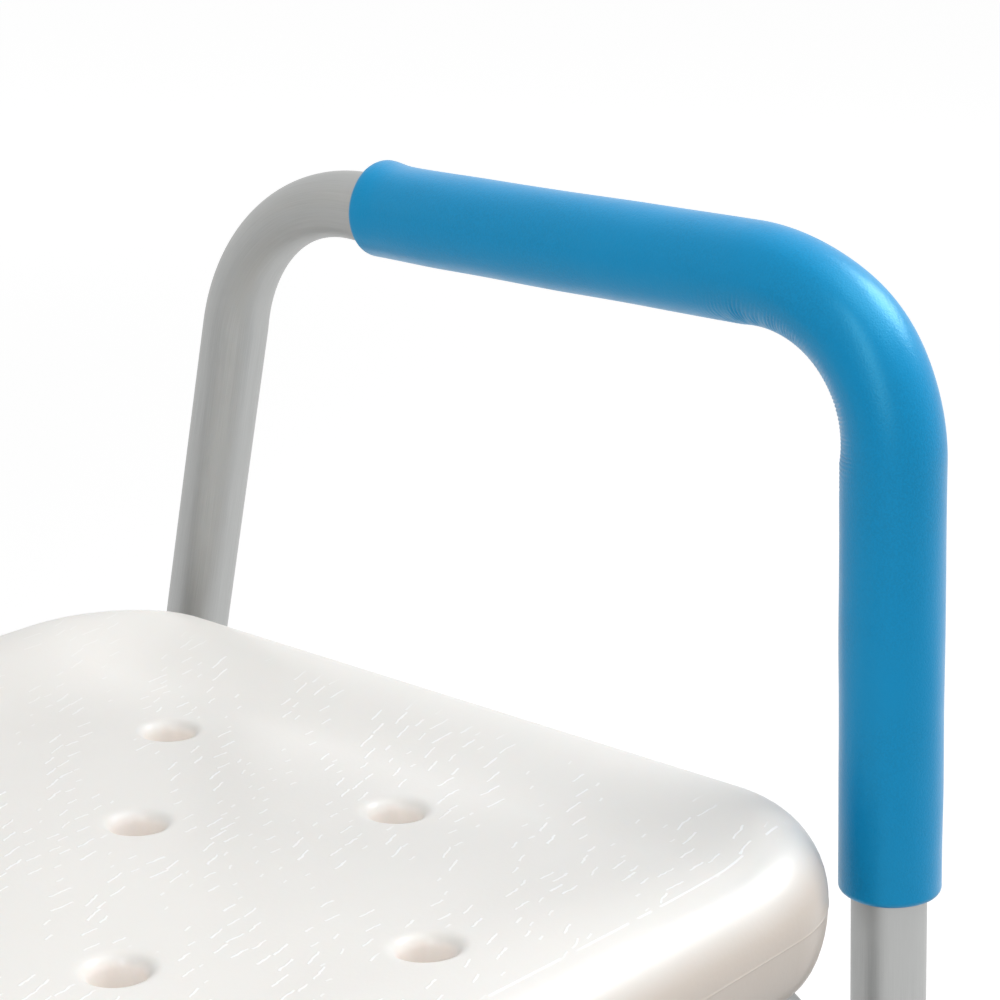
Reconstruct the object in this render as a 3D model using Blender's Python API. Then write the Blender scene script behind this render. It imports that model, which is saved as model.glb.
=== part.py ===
"""Bath chair with a moulded seat and back, bent aluminium tubes, foam arm grips and telescoping legs.

Metres, +Z up, +X to the sitter's left, -Y to the front. The origin is on the floor, midway between the feet.
"""

import math

import bmesh
import bpy
from mathutils import Matrix, Vector

# Overall sizes, at the lowest leg setting
SEAT_HEIGHT = 0.4127
FOOT_SPREAD = 0.437
LEG_LEAN = {"front": math.radians(3.36), "rear": math.radians(13.15)}
ARM_LEAN = {"front": math.radians(2.33), "rear": math.radians(12.39)}
LEG_SPLAY = math.radians(8.0)
ARM_RISE = 0.1623
ARM_SEAT_GAP = 0.0104

# Clearances
GAP = 0.0003
HOLE_GAP = 0.0003

# Tubes: outer radius, wall and the radius of each bend's centre line
FRAME_TUBE_R = 0.0111
FRAME_WALL = 0.0016
FRAME_BEND_R = 0.060
SLEEVE_WALL = 0.0013
ARM_TUBE_R = 0.0127
ARM_WALL = 0.0016
ARM_FRONT_BEND_R = 0.057
ARM_REAR_BEND_R = 0.070
BEND_FLATTENING = 0.18
TUBE_SIDES = 16
HOLE_SIDES = 10
DRAIN_SIDES = 12
BEND_STEPS = 5

# Seat
SEAT_WIDTH = 0.458
SEAT_FRONT_OVERHANG = 0.018
SEAT_REAR_OVERHANG = 0.018
SEAT_THICKNESS = 0.053
SEAT_PARTING_DROP = 0.0275
SEAT_SIDE_ROLL = 0.017
SEAT_FRONT_ROLL = 0.019
SEAT_REAR_ROLL = 0.024
SEAT_UNDER_ROLL = 0.009
SEAT_FRONT_CORNER = (0.048, 0.041)
SEAT_REAR_CORNER = (0.060, 0.058)
SEAT_FRONT_BOW = 0.003
DISH_DEPTH = 0.0085
DISH_RAMP = 0.045
DISH_REAR_RAMP = 0.055
DISH_REAR_FALL = 0.001
DISH_CROWN = 0.003
BAR_RISE = 0.0063
POCKET_DECK = 0.020
POCKET_RIB = 0.012
POCKET_RIB_X = 0.045
POCKET_MARGIN = 0.026
POCKET_WALL = 0.008
POCKET_DRAFT = 0.004
POCKET_CORNER = 0.016

# Drain holes, in two rings about one centre
DRAIN_R = 0.0085
DRAIN_LIP = 0.0032
DRAIN_CENTRE_SETBACK = 0.003
DRAIN_INNER_RING_R = 0.0755
DRAIN_INNER_COUNT = 4
DRAIN_OUTER_RING_R = 0.1497
DRAIN_OUTER_ANGLES = tuple(math.radians(a) for a in (-62.8, -21.4, 21.4, 50.0))

# Leg frames and leg extensions, as distances along the leg from the floor
LEG_CORNER_INSET = 0.0276
FRAME_LEG_END = 0.035
SLEEVE_BOTTOM = 0.010
SLEEVE_DROP = 0.121
BUTTON_HEIGHT = 0.062
HOLE_PITCH = 0.0254
HOLE_MARGIN = 0.004
COLLAR_LENGTH = 0.018
COLLAR_WALL = 0.0026
COLLAR_LIP = 0.003

# Rubber tips
TIP_HEIGHT = 0.042
TIP_WALL = 0.0032
TIP_FLOOR = 0.0094
TIP_BASE_R = 0.0200
TIP_BASE_HEIGHT = 0.009
TIP_RIBS = 2
TIP_RIB = 0.0012
TIP_RIB_PITCH = 0.009
TIP_TREAD_R = 0.011
TIP_TREAD_DEPTH = 0.0018

# Snap buttons: a nib on a folded leaf spring
NIB_R = 0.0034
NIB_PROUD = 0.003
NIB_FLANGE_R = 0.0046
NIB_FLANGE = 0.0012
LEAF_WIDTH = 0.007
LEAF_THICKNESS = 0.0007
LEAF_LENGTH = 0.038
LEAF_TAIL = 0.006

# Arms, grips and what fastens them
ARM_END_DROP = 0.104
ARM_BOLT_DROP = 0.081
BOLT_R = 0.003
BOLT_HEAD_R = 0.0072
BOLT_HEAD = 0.0042
BOLT_SOCKET_R = 0.0023
BOLT_SOCKET_DEPTH = 0.0022
NUT_R = 0.0058
NUT_LENGTH = 0.009
NUT_BORE_LENGTH = 0.0068
SPACER_R = 0.0105
SPACER_FLARE = 0.0008
CAP_STEM = 0.012
CAP_HEAD = 0.003
GRIP_R = 0.0173
GRIP_REAR_GAP = 0.0659
GRIP_DROP = 0.2017
GRIP_END_ROUND = 0.0014
GRIP_SQUEEZE = 0.35

# Back
BACK_TUBE_BEND_GAP = 0.0172
BACK_BEND_RISE = 0.048
BACK_LEAN = math.radians(7.5)
BACK_BEND_R = 0.120
BACK_TUBE_TOP = 0.290
BACK_TUBE_DEPTH = 0.072
PANEL_WIDTH = 0.340
PANEL_BOTTOM = 0.118
PANEL_HEIGHT = 0.207
PANEL_THICKNESS = 0.032
PANEL_CORNER = 0.048
PANEL_ROLL = 0.013
PANEL_DISH = 0.006
SLOT_WIDTH = 0.112
SLOT_HEIGHT = 0.024
SLOT_DROP = 0.040
PANEL_SCREW_Z = 0.235
SOCKET_WALL = 0.0030
SOCKET_DROP = 0.007
SOCKET_FLOOR = 0.006
SOCKET_SEAT_GAP = 0.0015
SOCKET_FOOT_WIDTH = 0.024
SOCKET_FOOT_THICKNESS = 0.0125
SOCKET_NECK = 0.0095
SOCKET_BUTTON_DROP = 0.014

# Seat screws
SCREW_R = 0.0024
SCREW_HEAD_R = 0.0048
SCREW_HEAD = 0.0030
SCREW_BITE = 0.016
RECESS_REACH = 0.0025
RECESS_WIDTH = 0.0011
RECESS_DEPTH = 0.0013

# Sizes that follow
LEFT, RIGHT = 1, -1
ENDS = ("front", "rear")
SEAT_BOTTOM_Z = SEAT_HEIGHT - SEAT_THICKNESS
SEAT_PARTING_Z = SEAT_HEIGHT - SEAT_PARTING_DROP
BAR_Z = SEAT_BOTTOM_Z + BAR_RISE
ARM_Z = SEAT_HEIGHT + ARM_RISE
ARM_X = SEAT_WIDTH / 2 + ARM_SEAT_GAP + ARM_TUBE_R
ARM_END_Z = BAR_Z - ARM_END_DROP
ARM_BOLT_Z = BAR_Z - ARM_BOLT_DROP
LEG_CORNER_X = SEAT_WIDTH / 2 - LEG_CORNER_INSET
BAR_STRAIGHT_X = LEG_CORNER_X - FRAME_BEND_R * math.tan(math.pi / 4 - LEG_SPLAY / 2)
BACK_TUBE_X = BAR_STRAIGHT_X - BACK_TUBE_BEND_GAP
SCREW_X = BACK_TUBE_X
SLEEVE_TOP = BAR_Z - SLEEVE_DROP
HOLE_ROOM = SLEEVE_TOP - COLLAR_LENGTH - HOLE_MARGIN - BUTTON_HEIGHT
HOLE_COUNT = int(HOLE_ROOM / HOLE_PITCH) + 1
BACK_BEND_Z = SEAT_HEIGHT + BACK_BEND_RISE
SOCKET_TOP = SEAT_HEIGHT - SOCKET_DROP
SOCKET_BUTTON_Z = SOCKET_TOP - SOCKET_BUTTON_DROP
BACK_TUBE_SEAT_Z = SOCKET_TOP - BACK_TUBE_DEPTH
SLEEVE_BORE_R = FRAME_TUBE_R + GAP
SLEEVE_R = SLEEVE_BORE_R + SLEEVE_WALL
SOCKET_BORE_R = FRAME_TUBE_R + GAP
SOCKET_R = SOCKET_BORE_R + SOCKET_WALL
HOLE_R = NIB_R + HOLE_GAP


def lean_y(end, z, lean):
    """A line in side view that starts at the foot and leans in towards the middle."""
    inward = FOOT_SPREAD / 2 - z * math.tan(lean[end])
    return -inward if end == "front" else inward


def leg_y(end, z):
    return lean_y(end, z, LEG_LEAN)


def arm_y(end, z):
    return lean_y(end, z, ARM_LEAN)


def leg_x(z):
    """How far the leg's centre line is from the middle at height z."""
    return LEG_CORNER_X + (BAR_Z - z) * math.tan(LEG_SPLAY)


BAR_Y = {end: leg_y(end, BAR_Z) for end in ENDS}
SEAT_FRONT_Y = BAR_Y["front"] - SEAT_FRONT_OVERHANG
SEAT_REAR_Y = BAR_Y["rear"] + SEAT_REAR_OVERHANG
BACK_Y = SEAT_REAR_Y + SOCKET_SEAT_GAP + SOCKET_R
DRAIN_CENTRE_Y = (SEAT_FRONT_Y + SEAT_REAR_Y) / 2 + DRAIN_CENTRE_SETBACK


def smooth(t):
    """A soft step from 0 to 1."""
    t = min(max(t, 0.0), 1.0)
    return t * t * (3.0 - 2.0 * t)


# Meshes


def add_skin(bm, rings, loop=False):
    """Joins rings of points with faces. A ring of one point is a pole, and open ends are closed."""
    made = [[bm.verts.new(p) for p in ring] for ring in rings]
    pairs = list(zip(made, made[1:]))
    if loop:
        pairs.append((made[-1], made[0]))
    for low, high in pairs:
        for i in range(max(len(low), len(high))):
            a, b = low[i % len(low)], low[(i + 1) % len(low)]
            c, d = high[(i + 1) % len(high)], high[i % len(high)]
            corners = [a, b, c, d]
            bm.faces.new([v for k, v in enumerate(corners) if v not in corners[:k]])
    if not loop:
        for ring in (made[0], made[-1]):
            if len(ring) > 2:
                bm.faces.new(ring)
    return bm


def skin(rings, loop=False):
    return add_skin(bmesh.new(), rings, loop)


def circle(centre, across, up, radius, sides):
    turn = 2 * math.pi / sides
    return [
        centre + across * (radius * math.cos(i * turn)) + up * (radius * math.sin(i * turn))
        for i in range(sides)
    ]


def bore_radius(radius, sides=TUBE_SIDES):
    """A many-sided bore whose flats stay outside this radius."""
    return radius / math.cos(math.pi / sides)


def lathe_rings(profile, frame, sides):
    """Turns (radius, height) points about the frame's Z axis."""
    across, up, axis = (frame.to_3x3() @ Vector(v) for v in ((1, 0, 0), (0, 1, 0), (0, 0, 1)))
    origin = frame.translation
    return [
        circle(origin + axis * z, across, up, r, sides) if r > 0 else [origin + axis * z]
        for r, z in profile
    ]


def turned(profile, frame=None, sides=TUBE_SIDES, loop=False):
    return skin(lathe_rings(profile, frame or Matrix(), sides), loop)


def rod_rings(start, end, radius, sides=TUBE_SIDES):
    """A plain round rod between two points."""
    frame = facing(start, end - start)
    length = (end - start).length
    return lathe_rings([(0, 0), (radius, 0), (radius, length), (0, length)], frame, sides)


def facing(origin, direction, across=None):
    """A frame at origin with its Z axis along direction and X as near across as it can be."""
    z = direction.normalized()
    hint = across or (Vector((0, 0, 1)) if abs(z.z) < 0.9 else Vector((1, 0, 0)))
    x = (hint - z * hint.dot(z)).normalized()
    rotation = Matrix((x, z.cross(x), z)).transposed()
    return Matrix.Translation(origin) @ rotation.to_4x4()


def bent_path(corners, radii, steps=BEND_STEPS):
    """(point, direction, how far into a bend) along a line through the corners, rounded to these radii."""
    path = [(corners[0], (corners[1] - corners[0]).normalized(), 0.0)]
    for before, corner, after, radius in zip(corners, corners[1:], corners[2:], radii):
        back, on = (before - corner).normalized(), (after - corner).normalized()
        half = back.angle(on) / 2
        centre = corner + (back + on).normalized() * (radius / math.sin(half))
        first = corner + back * (radius / math.tan(half)) - centre
        last = corner + on * (radius / math.tan(half)) - centre
        turn = math.pi - 2 * half
        for k in range(steps + 1):
            t = k / steps
            spoke = first * math.sin((1 - t) * turn) + last * math.sin(t * turn)
            along = last * math.cos(t * turn) - first * math.cos((1 - t) * turn)
            point = centre + spoke / math.sin(turn)
            path.append((point, along.normalized(), math.sin(math.pi * t)))
    path.append((corners[-1], (corners[-1] - corners[-2]).normalized(), 0.0))
    return path


def tube_rings(path, normal, radius, flattening=0.0, cover=0.0, squeeze=0.0, sides=TUBE_SIDES):
    """Rings along a path that lies in the plane of this normal. A bend flattens on its inner side.

    cover is a sleeve's thickness over the tube, squeezed by this share on a bend's inner side.
    """
    rings = []
    for point, along, bend in path:
        inward = normal.cross(along).normalized()
        ring = []
        for i in range(sides):
            angle = 2 * math.pi * i / sides
            inner = bend * max(0.0, math.cos(angle))
            reach = radius * (1 - flattening * inner) + cover * (1 - squeeze * inner)
            ring.append(point + inward * (reach * math.cos(angle)) + normal * (reach * math.sin(angle)))
        rings.append(ring)
    return rings


def tube(path, normal, radius, wall, flattening=0.0):
    """A hollow tube along the path, open at both ends."""
    outer = tube_rings(path, normal, radius, flattening)
    inner = tube_rings(path, normal, radius - wall, flattening)
    return skin(outer + inner[::-1], loop=True)


# Objects and materials


def material(name, colour, roughness, metallic=0.0):
    found = bpy.data.materials.get(name)
    if found:
        return found
    made = bpy.data.materials.new(name)
    made.use_nodes = True
    shader = made.node_tree.nodes["Principled BSDF"]
    shader.inputs["Base Color"].default_value = (*colour, 1.0)
    shader.inputs["Roughness"].default_value = roughness
    shader.inputs["Metallic"].default_value = metallic
    made.diffuse_color = (*colour, 1.0)
    return made


def anodised():
    return material("anodised_aluminium", (0.55, 0.56, 0.55), 0.38, 1.0)


def bright_steel():
    return material("bright_steel", (0.70, 0.70, 0.71), 0.22, 1.0)


def spring_steel():
    return material("spring_steel", (0.42, 0.42, 0.43), 0.35, 1.0)


def white_moulding():
    return material("white_moulding", (0.86, 0.84, 0.82), 0.42)


def grey_nylon():
    return material("grey_nylon", (0.34, 0.35, 0.36), 0.5)


def grey_rubber():
    return material("grey_rubber", (0.28, 0.29, 0.30), 0.75)


def blue_foam():
    return material("blue_foam", (0.0, 0.24, 0.51), 0.45)


def mesh_of(name, bm, smooth_angle=math.radians(34)):
    bmesh.ops.remove_doubles(bm, verts=bm.verts, dist=1e-7)
    bmesh.ops.recalc_face_normals(bm, faces=bm.faces)
    mesh = bpy.data.meshes.new(name)
    bm.to_mesh(mesh)
    bm.free()
    mesh.shade_smooth()
    mesh.set_sharp_from_angle(angle=smooth_angle)
    return mesh


def add(name, bm, finish, frame=None, parent=None):
    """Adds a node. Its mesh is given in the chair's frame, and its origin goes to frame or to its parent."""
    frame = parent.matrix_world.copy() if parent else frame or Matrix()
    bm.transform(frame.inverted())
    obj = bpy.data.objects.new(name, mesh_of(name, bm))
    obj.data.materials.append(finish)
    bpy.context.scene.collection.objects.link(obj)
    if parent:
        obj.parent = parent
    else:
        obj.matrix_world = frame
    return obj


def add_empty(name, frame):
    empty = bpy.data.objects.new(name, None)
    empty.empty_display_size = 0.02
    bpy.context.scene.collection.objects.link(empty)
    empty.matrix_world = frame
    bpy.context.view_layer.update()
    return empty


def boolean(target, other_bm, name, operation):
    """Cuts the target with a hidden helper, or joins the helper to it."""
    helper = bpy.data.objects.new(name, mesh_of(name, other_bm))
    helper.hide_render = True
    helper.display_type = "WIRE"
    bpy.context.scene.collection.objects.link(helper)
    modifier = target.modifiers.new(name, "BOOLEAN")
    modifier.operation = operation
    modifier.solver = "EXACT"
    modifier.object = helper
    return target


def cut(target, other_bm, name):
    return boolean(target, other_bm, name, "DIFFERENCE")


def join(target, other_bm, name):
    return boolean(target, other_bm, name, "UNION")


# Frames that several pieces share


def leg_axis(end, side):
    """A frame at the foot, with Z up along the leg and X outward."""
    foot = Vector((side * leg_x(0), leg_y(end, 0), 0))
    top = Vector((side * leg_x(BAR_Z), leg_y(end, BAR_Z), BAR_Z))
    return facing(foot, top - foot, Vector((side, 0, 0)))


def back_frame():
    """A frame at the bend of the back tubes, with Z up along the leaning part and Y to the rear."""
    return Matrix.Translation((0, BACK_Y, BACK_BEND_Z)) @ Matrix.Rotation(-BACK_LEAN, 4, "X")


# Moulded pads: the seat and the back panel


def rounded_outline(half_width, low, high, low_corner, high_corner, bow=0.0, corner_steps=6, edge_steps=5):
    """A rectangle with elliptical corners, anticlockwise. low and high are its ends in Y."""
    corners = (
        (half_width, high, high_corner, 0.0),
        (-half_width, high, high_corner, 0.5),
        (-half_width, low, low_corner, 1.0),
        (half_width, low, low_corner, 1.5),
    )
    points = []
    for x, y, (a, b), start in corners:
        centre = (x - math.copysign(a, x), y + (b if y == low else -b))
        for k in range(corner_steps + 1):
            angle = (start + 0.5 * k / corner_steps) * math.pi
            points.append((centre[0] + a * math.cos(angle), centre[1] + b * math.sin(angle)))
    closed = []
    for k in range(4):
        run = points[k * (corner_steps + 1) : (k + 1) * (corner_steps + 1)]
        start, end = run[-1], points[((k + 1) * (corner_steps + 1)) % len(points)]
        closed += run
        closed += [
            tuple(s + (e - s) * i / edge_steps for s, e in zip(start, end)) for i in range(1, edge_steps)
        ]
    return [bowed(p, half_width, low, bow) for p in closed]


def bowed(point, half_width, low, bow):
    """Pushes the low edge out in its middle, less and less towards the ends."""
    x, y = point
    share = max(0.0, 1 - (x / half_width) ** 2) * smooth((0 - y) / abs(low)) if bow else 0.0
    return x, y - bow * share


def moulded_rings(shoulder, widest, base, top, parting, bottom, roll_steps=4, under_steps=3):
    """Rings of a closed pad: over its dished top, round its rolled edge and back under it.

    shoulder, widest and base are outlines. top gives the upper surface's height at (x, y).
    """
    centre_x = sum(p[0] for p in shoulder) / len(shoulder)
    centre_y = sum(p[1] for p in shoulder) / len(shoulder)
    rings = [[Vector((centre_x, centre_y, top(centre_x, centre_y)))]]
    for share in (0.3, 0.56, 0.72, 0.8, 0.87, 0.94, 1.0):
        ring = [(centre_x + (x - centre_x) * share, centre_y + (y - centre_y) * share) for x, y in shoulder]
        rings.append([Vector((x, y, top(x, y))) for x, y in ring])
    for k in range(1, roll_steps + 1):
        angle = 0.5 * math.pi * k / roll_steps
        ring = []
        for (x0, y0), (x1, y1) in zip(shoulder, widest):
            rise = top(x0, y0) - parting
            s = math.sin(angle)
            ring.append(Vector((x0 + (x1 - x0) * s, y0 + (y1 - y0) * s, parting + rise * math.cos(angle))))
        rings.append(ring)
    for k in range(1, under_steps + 1):
        angle = 0.5 * math.pi * k / under_steps
        c = math.cos(angle)
        z = parting - (parting - bottom) * math.sin(angle)
        rings.append(
            [Vector((x1 + (x0 - x1) * c, y1 + (y0 - y1) * c, z)) for (x0, y0), (x1, y1) in zip(widest, base)]
        )
    rings.append([Vector((centre_x, centre_y, bottom))])
    return rings


# Seat


def seat_outline(inset_side, inset_front, inset_rear):
    """The seat's plan, drawn in by these amounts at its sides, front and rear."""
    front_a, front_b = SEAT_FRONT_CORNER
    rear_a, rear_b = SEAT_REAR_CORNER
    return rounded_outline(
        SEAT_WIDTH / 2 - inset_side,
        SEAT_FRONT_Y + inset_front,
        SEAT_REAR_Y - inset_rear,
        (front_a - inset_side, front_b - 0.5 * inset_front),
        (rear_a - inset_side, rear_b - inset_rear),
        SEAT_FRONT_BOW,
    )


def seat_top(x, y):
    """The height of the seat's upper surface: raised sides and rear, a valley inside them and a low crown."""
    side = SEAT_WIDTH / 2 - SEAT_SIDE_ROLL
    ramp = smooth((side - abs(x)) / DISH_RAMP)
    rear = smooth((SEAT_REAR_Y - SEAT_REAR_ROLL - y) / DISH_REAR_RAMP)
    along = smooth((y - SEAT_FRONT_Y) / (SEAT_REAR_Y - SEAT_FRONT_Y))
    crown = DISH_CROWN * max(0.0, 1 - (x / (side - DISH_RAMP)) ** 2)
    return SEAT_HEIGHT - (DISH_DEPTH + DISH_REAR_FALL * along) * ramp * rear + crown * rear


def drain_centres():
    """The places of the drain holes: an inner ring, and an outer ring mirrored about the middle."""
    places = []
    for i in range(DRAIN_INNER_COUNT):
        angle = 2 * math.pi * i / DRAIN_INNER_COUNT
        places.append((DRAIN_INNER_RING_R, angle))
    for angle in DRAIN_OUTER_ANGLES:
        places += [(DRAIN_OUTER_RING_R, angle), (DRAIN_OUTER_RING_R, math.pi - angle)]
    return [(r * math.cos(a), DRAIN_CENTRE_Y + r * math.sin(a)) for r, a in places]


def drain_cutter():
    """One funnel for each drain hole, with a rounded lip at the seat's own surface there."""
    bm = bmesh.new()
    for x, y in drain_centres():
        top = seat_top(x, y)
        profile = [(0, top + 0.006), (DRAIN_R + DRAIN_LIP, top + 0.006)]
        for k in range(3):
            angle = 0.25 * math.pi * k
            fillet_r = DRAIN_R + DRAIN_LIP * (1 - math.sin(angle))
            profile.append((fillet_r, top + 0.0002 - DRAIN_LIP * (1 - math.cos(angle))))
        profile += [(DRAIN_R, SEAT_BOTTOM_Z - 0.004), (0, SEAT_BOTTOM_Z - 0.004)]
        add_skin(bm, lathe_rings(profile, Matrix.Translation((x, y, 0)), DRAIN_SIDES))
    return bm


def channel_cutters(end):
    """Room for one leg frame in the seat's underside: its own path, and a slot below it to let it in."""
    path = leg_frame_path(end)
    normal = frame_normal(end)
    sweep = skin(tube_rings(path, normal, bore_radius(FRAME_TUBE_R + GAP)))
    slot = skin([[p + normal * (side * (FRAME_TUBE_R + GAP)) for p, _, _ in path] for side in (1, -1)])
    return sweep, slot


def pocket_cutter():
    """Tapered recesses between the channels, with two ribs left between them."""
    low = BAR_Y["front"] + FRAME_TUBE_R + POCKET_WALL
    high = BAR_Y["rear"] - FRAME_TUBE_R - POCKET_WALL
    edge = SEAT_WIDTH / 2 - SEAT_UNDER_ROLL - POCKET_MARGIN
    rib_near, rib_far = POCKET_RIB_X - POCKET_RIB / 2, POCKET_RIB_X + POCKET_RIB / 2
    levels = ((SEAT_BOTTOM_Z - 0.004, 0.0), (SEAT_HEIGHT - DISH_DEPTH - POCKET_DECK, POCKET_DRAFT))
    bm = bmesh.new()
    for x0, x1 in ((-edge, -rib_far), (-rib_near, rib_near), (rib_far, edge)):
        centre, half = (x0 + x1) / 2, (x1 - x0) / 2
        rings = []
        for z, inset in levels:
            corner = (POCKET_CORNER - inset,) * 2
            outline = rounded_outline(half - inset, low + inset, high - inset, corner, corner, 0, 3, 1)
            rings.append([Vector((x + centre, y, z)) for x, y in outline])
        add_skin(bm, rings)
    return bm


def seat():
    rings = moulded_rings(
        seat_outline(SEAT_SIDE_ROLL, SEAT_FRONT_ROLL, SEAT_REAR_ROLL),
        seat_outline(0, 0, 0),
        seat_outline(SEAT_UNDER_ROLL, SEAT_UNDER_ROLL, SEAT_UNDER_ROLL),
        seat_top,
        SEAT_PARTING_Z,
        SEAT_BOTTOM_Z,
    )
    obj = add("seat", skin(rings), white_moulding(), Matrix.Translation((0, 0, SEAT_BOTTOM_Z)))
    cut(obj, pocket_cutter(), "seat_pockets")
    for end in ENDS:
        sweep, slot = channel_cutters(end)
        cut(obj, sweep, f"seat_{end}_channel")
        cut(obj, slot, f"seat_{end}_slot")
    cut(obj, drain_cutter(), "seat_drain_holes")
    holes = bmesh.new()
    for end in ENDS:
        for side in (LEFT, RIGHT):
            low = Vector((side * SCREW_X, BAR_Y[end], BAR_Z))
            high = low + Vector((0, 0, FRAME_TUBE_R + SCREW_BITE + 2 * GAP))
            add_skin(holes, rod_rings(low, high, SCREW_R + HOLE_GAP, HOLE_SIDES))
    return cut(obj, holes, "seat_screw_holes")


# Leg frames


def leg_frame_path(end):
    """An inverted U: a bar under the seat and a leg at each side, in a plane that leans with the legs."""
    left, right = (
        [Vector((s * leg_x(z), leg_y(end, z), z)) for z in (leg_end_z(end), BAR_Z)] for s in (LEFT, RIGHT)
    )
    return bent_path([left[0], left[1], right[1], right[0]], (FRAME_BEND_R, FRAME_BEND_R))


def bolt_points(end, side):
    """Where an arm bolt crosses the middle of the arm upright, and the middle of the leg."""
    arm = Vector((side * ARM_X, arm_y(end, ARM_BOLT_Z), ARM_BOLT_Z))
    leg = Vector((side * leg_x(ARM_BOLT_Z), leg_y(end, ARM_BOLT_Z), ARM_BOLT_Z))
    return arm, leg


def bolt_hole(end, side, middle):
    """Rings of a cutter through both walls of the tube whose middle is given."""
    arm, leg = bolt_points(end, side)
    reach = (leg - arm).normalized() * 0.02
    return rod_rings(middle - reach, middle + reach, BOLT_R + HOLE_GAP, HOLE_SIDES)


def frame_normal(end):
    """Square to the plane that a leg frame lies in."""
    lean = leg_y(end, 0) - leg_y(end, 1)
    return Vector((0, 1, lean)).normalized()


def leg_slope(end):
    """Length along the leg for each metre of height."""
    return math.sqrt(1 + math.tan(LEG_SPLAY) ** 2 + math.tan(LEG_LEAN[end]) ** 2)


def leg_end_z(end):
    return FRAME_LEG_END / leg_slope(end)


def leg_frame(end):
    obj = add(
        f"{end}_leg_frame",
        tube(leg_frame_path(end), frame_normal(end), FRAME_TUBE_R, FRAME_WALL),
        anodised(),
        Matrix.Translation((0, BAR_Y[end], BAR_Z)),
    )
    holes = bmesh.new()
    for side in (LEFT, RIGHT):
        axis = leg_axis(end, side)
        start = axis @ Vector((0, 0, BUTTON_HEIGHT))
        add_skin(holes, rod_rings(start, axis @ Vector((0.03, 0, BUTTON_HEIGHT)), HOLE_R, HOLE_SIDES))
        add_skin(holes, bolt_hole(end, side, bolt_points(end, side)[1]))
        screw = Vector((side * SCREW_X, BAR_Y[end], BAR_Z))
        reach = Vector((0, 0, 0.03))
        add_skin(holes, rod_rings(screw - reach, screw + reach, SCREW_R + HOLE_GAP, HOLE_SIDES))
    return cut(obj, holes, f"{end}_leg_frame_holes")


def seat_screw(end, side):
    """A pan-head screw from below, through what it clamps and into the seat."""
    under = BAR_Z - FRAME_TUBE_R - GAP
    if end == "rear":
        under = SEAT_BOTTOM_Z - GAP - SOCKET_FOOT_THICKNESS - GAP
    top = BAR_Z + FRAME_TUBE_R + SCREW_BITE
    profile = [
        (0, under - SCREW_HEAD),
        (0.6 * SCREW_HEAD_R, under - SCREW_HEAD),
        (SCREW_HEAD_R, under - 0.45 * SCREW_HEAD),
        (SCREW_HEAD_R, under),
        (SCREW_R, under),
        (SCREW_R, top - 0.003),
        (0, top),
    ]
    frame = Matrix.Translation((side * SCREW_X, BAR_Y[end], 0))
    name = f"seat_screw_{end}_{side_name(side)}"
    obj = add(name, turned(profile, frame, HOLE_SIDES), bright_steel(), frame)
    return cut(obj, cross_recess(frame, under - SCREW_HEAD, RECESS_DEPTH), name + "_recess")


def cross_recess(frame, face, depth):
    """A cutter for a cross in a screw's head, from outside its face inward along the frame's Z axis."""
    a, b = RECESS_REACH, RECESS_WIDTH / 2
    arm = [(a, b), (b, b), (b, a)]
    outline = arm + [(-x, y) for x, y in arm[::-1]]
    outline += [(-x, -y) for x, y in outline]
    levels = (face - math.copysign(0.001, depth), face + depth)
    return skin([[frame @ Vector((x, y, z)) for x, y in outline] for z in levels])


# Leg extensions


def leg_extension(end, side, pivot):
    axis = leg_axis(end, side)
    inner = bore_radius(SLEEVE_BORE_R)
    profile = [
        (SLEEVE_R, SLEEVE_BOTTOM),
        (SLEEVE_R, SLEEVE_TOP),
        (inner, SLEEVE_TOP),
        (inner, SLEEVE_BOTTOM),
    ]
    name = f"leg_extension_{end}_{side_name(side)}"
    obj = add(name, turned(profile, axis, loop=True), anodised(), parent=pivot)
    holes = bmesh.new()
    for i in range(HOLE_COUNT):
        height = BUTTON_HEIGHT + i * HOLE_PITCH
        start, stop = (axis @ Vector((x, 0, height)) for x in (0.5 * SLEEVE_R, 1.5 * SLEEVE_R))
        add_skin(holes, rod_rings(start, stop, HOLE_R, HOLE_SIDES))
    return cut(obj, holes, name + "_holes")


def leg_collar(end, side, pivot):
    """A moulded collar over the sleeve's mouth, which steadies the frame's leg in it."""
    bottom = SLEEVE_TOP - COLLAR_LENGTH
    top = SLEEVE_TOP + COLLAR_LIP
    outer = SLEEVE_R + GAP + COLLAR_WALL
    seat_r = bore_radius(SLEEVE_R + GAP)
    mouth = bore_radius(SLEEVE_BORE_R)
    profile = [
        (outer - 0.0008, bottom),
        (outer, bottom + 0.0012),
        (outer, top - 0.0035),
        (outer - 0.0022, top),
        (mouth, top),
        (mouth, SLEEVE_TOP + GAP),
        (seat_r, SLEEVE_TOP + GAP),
        (seat_r, bottom),
    ]
    bm = turned(profile, leg_axis(end, side), loop=True)
    return add(f"leg_collar_{end}_{side_name(side)}", bm, grey_nylon(), parent=pivot)


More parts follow.
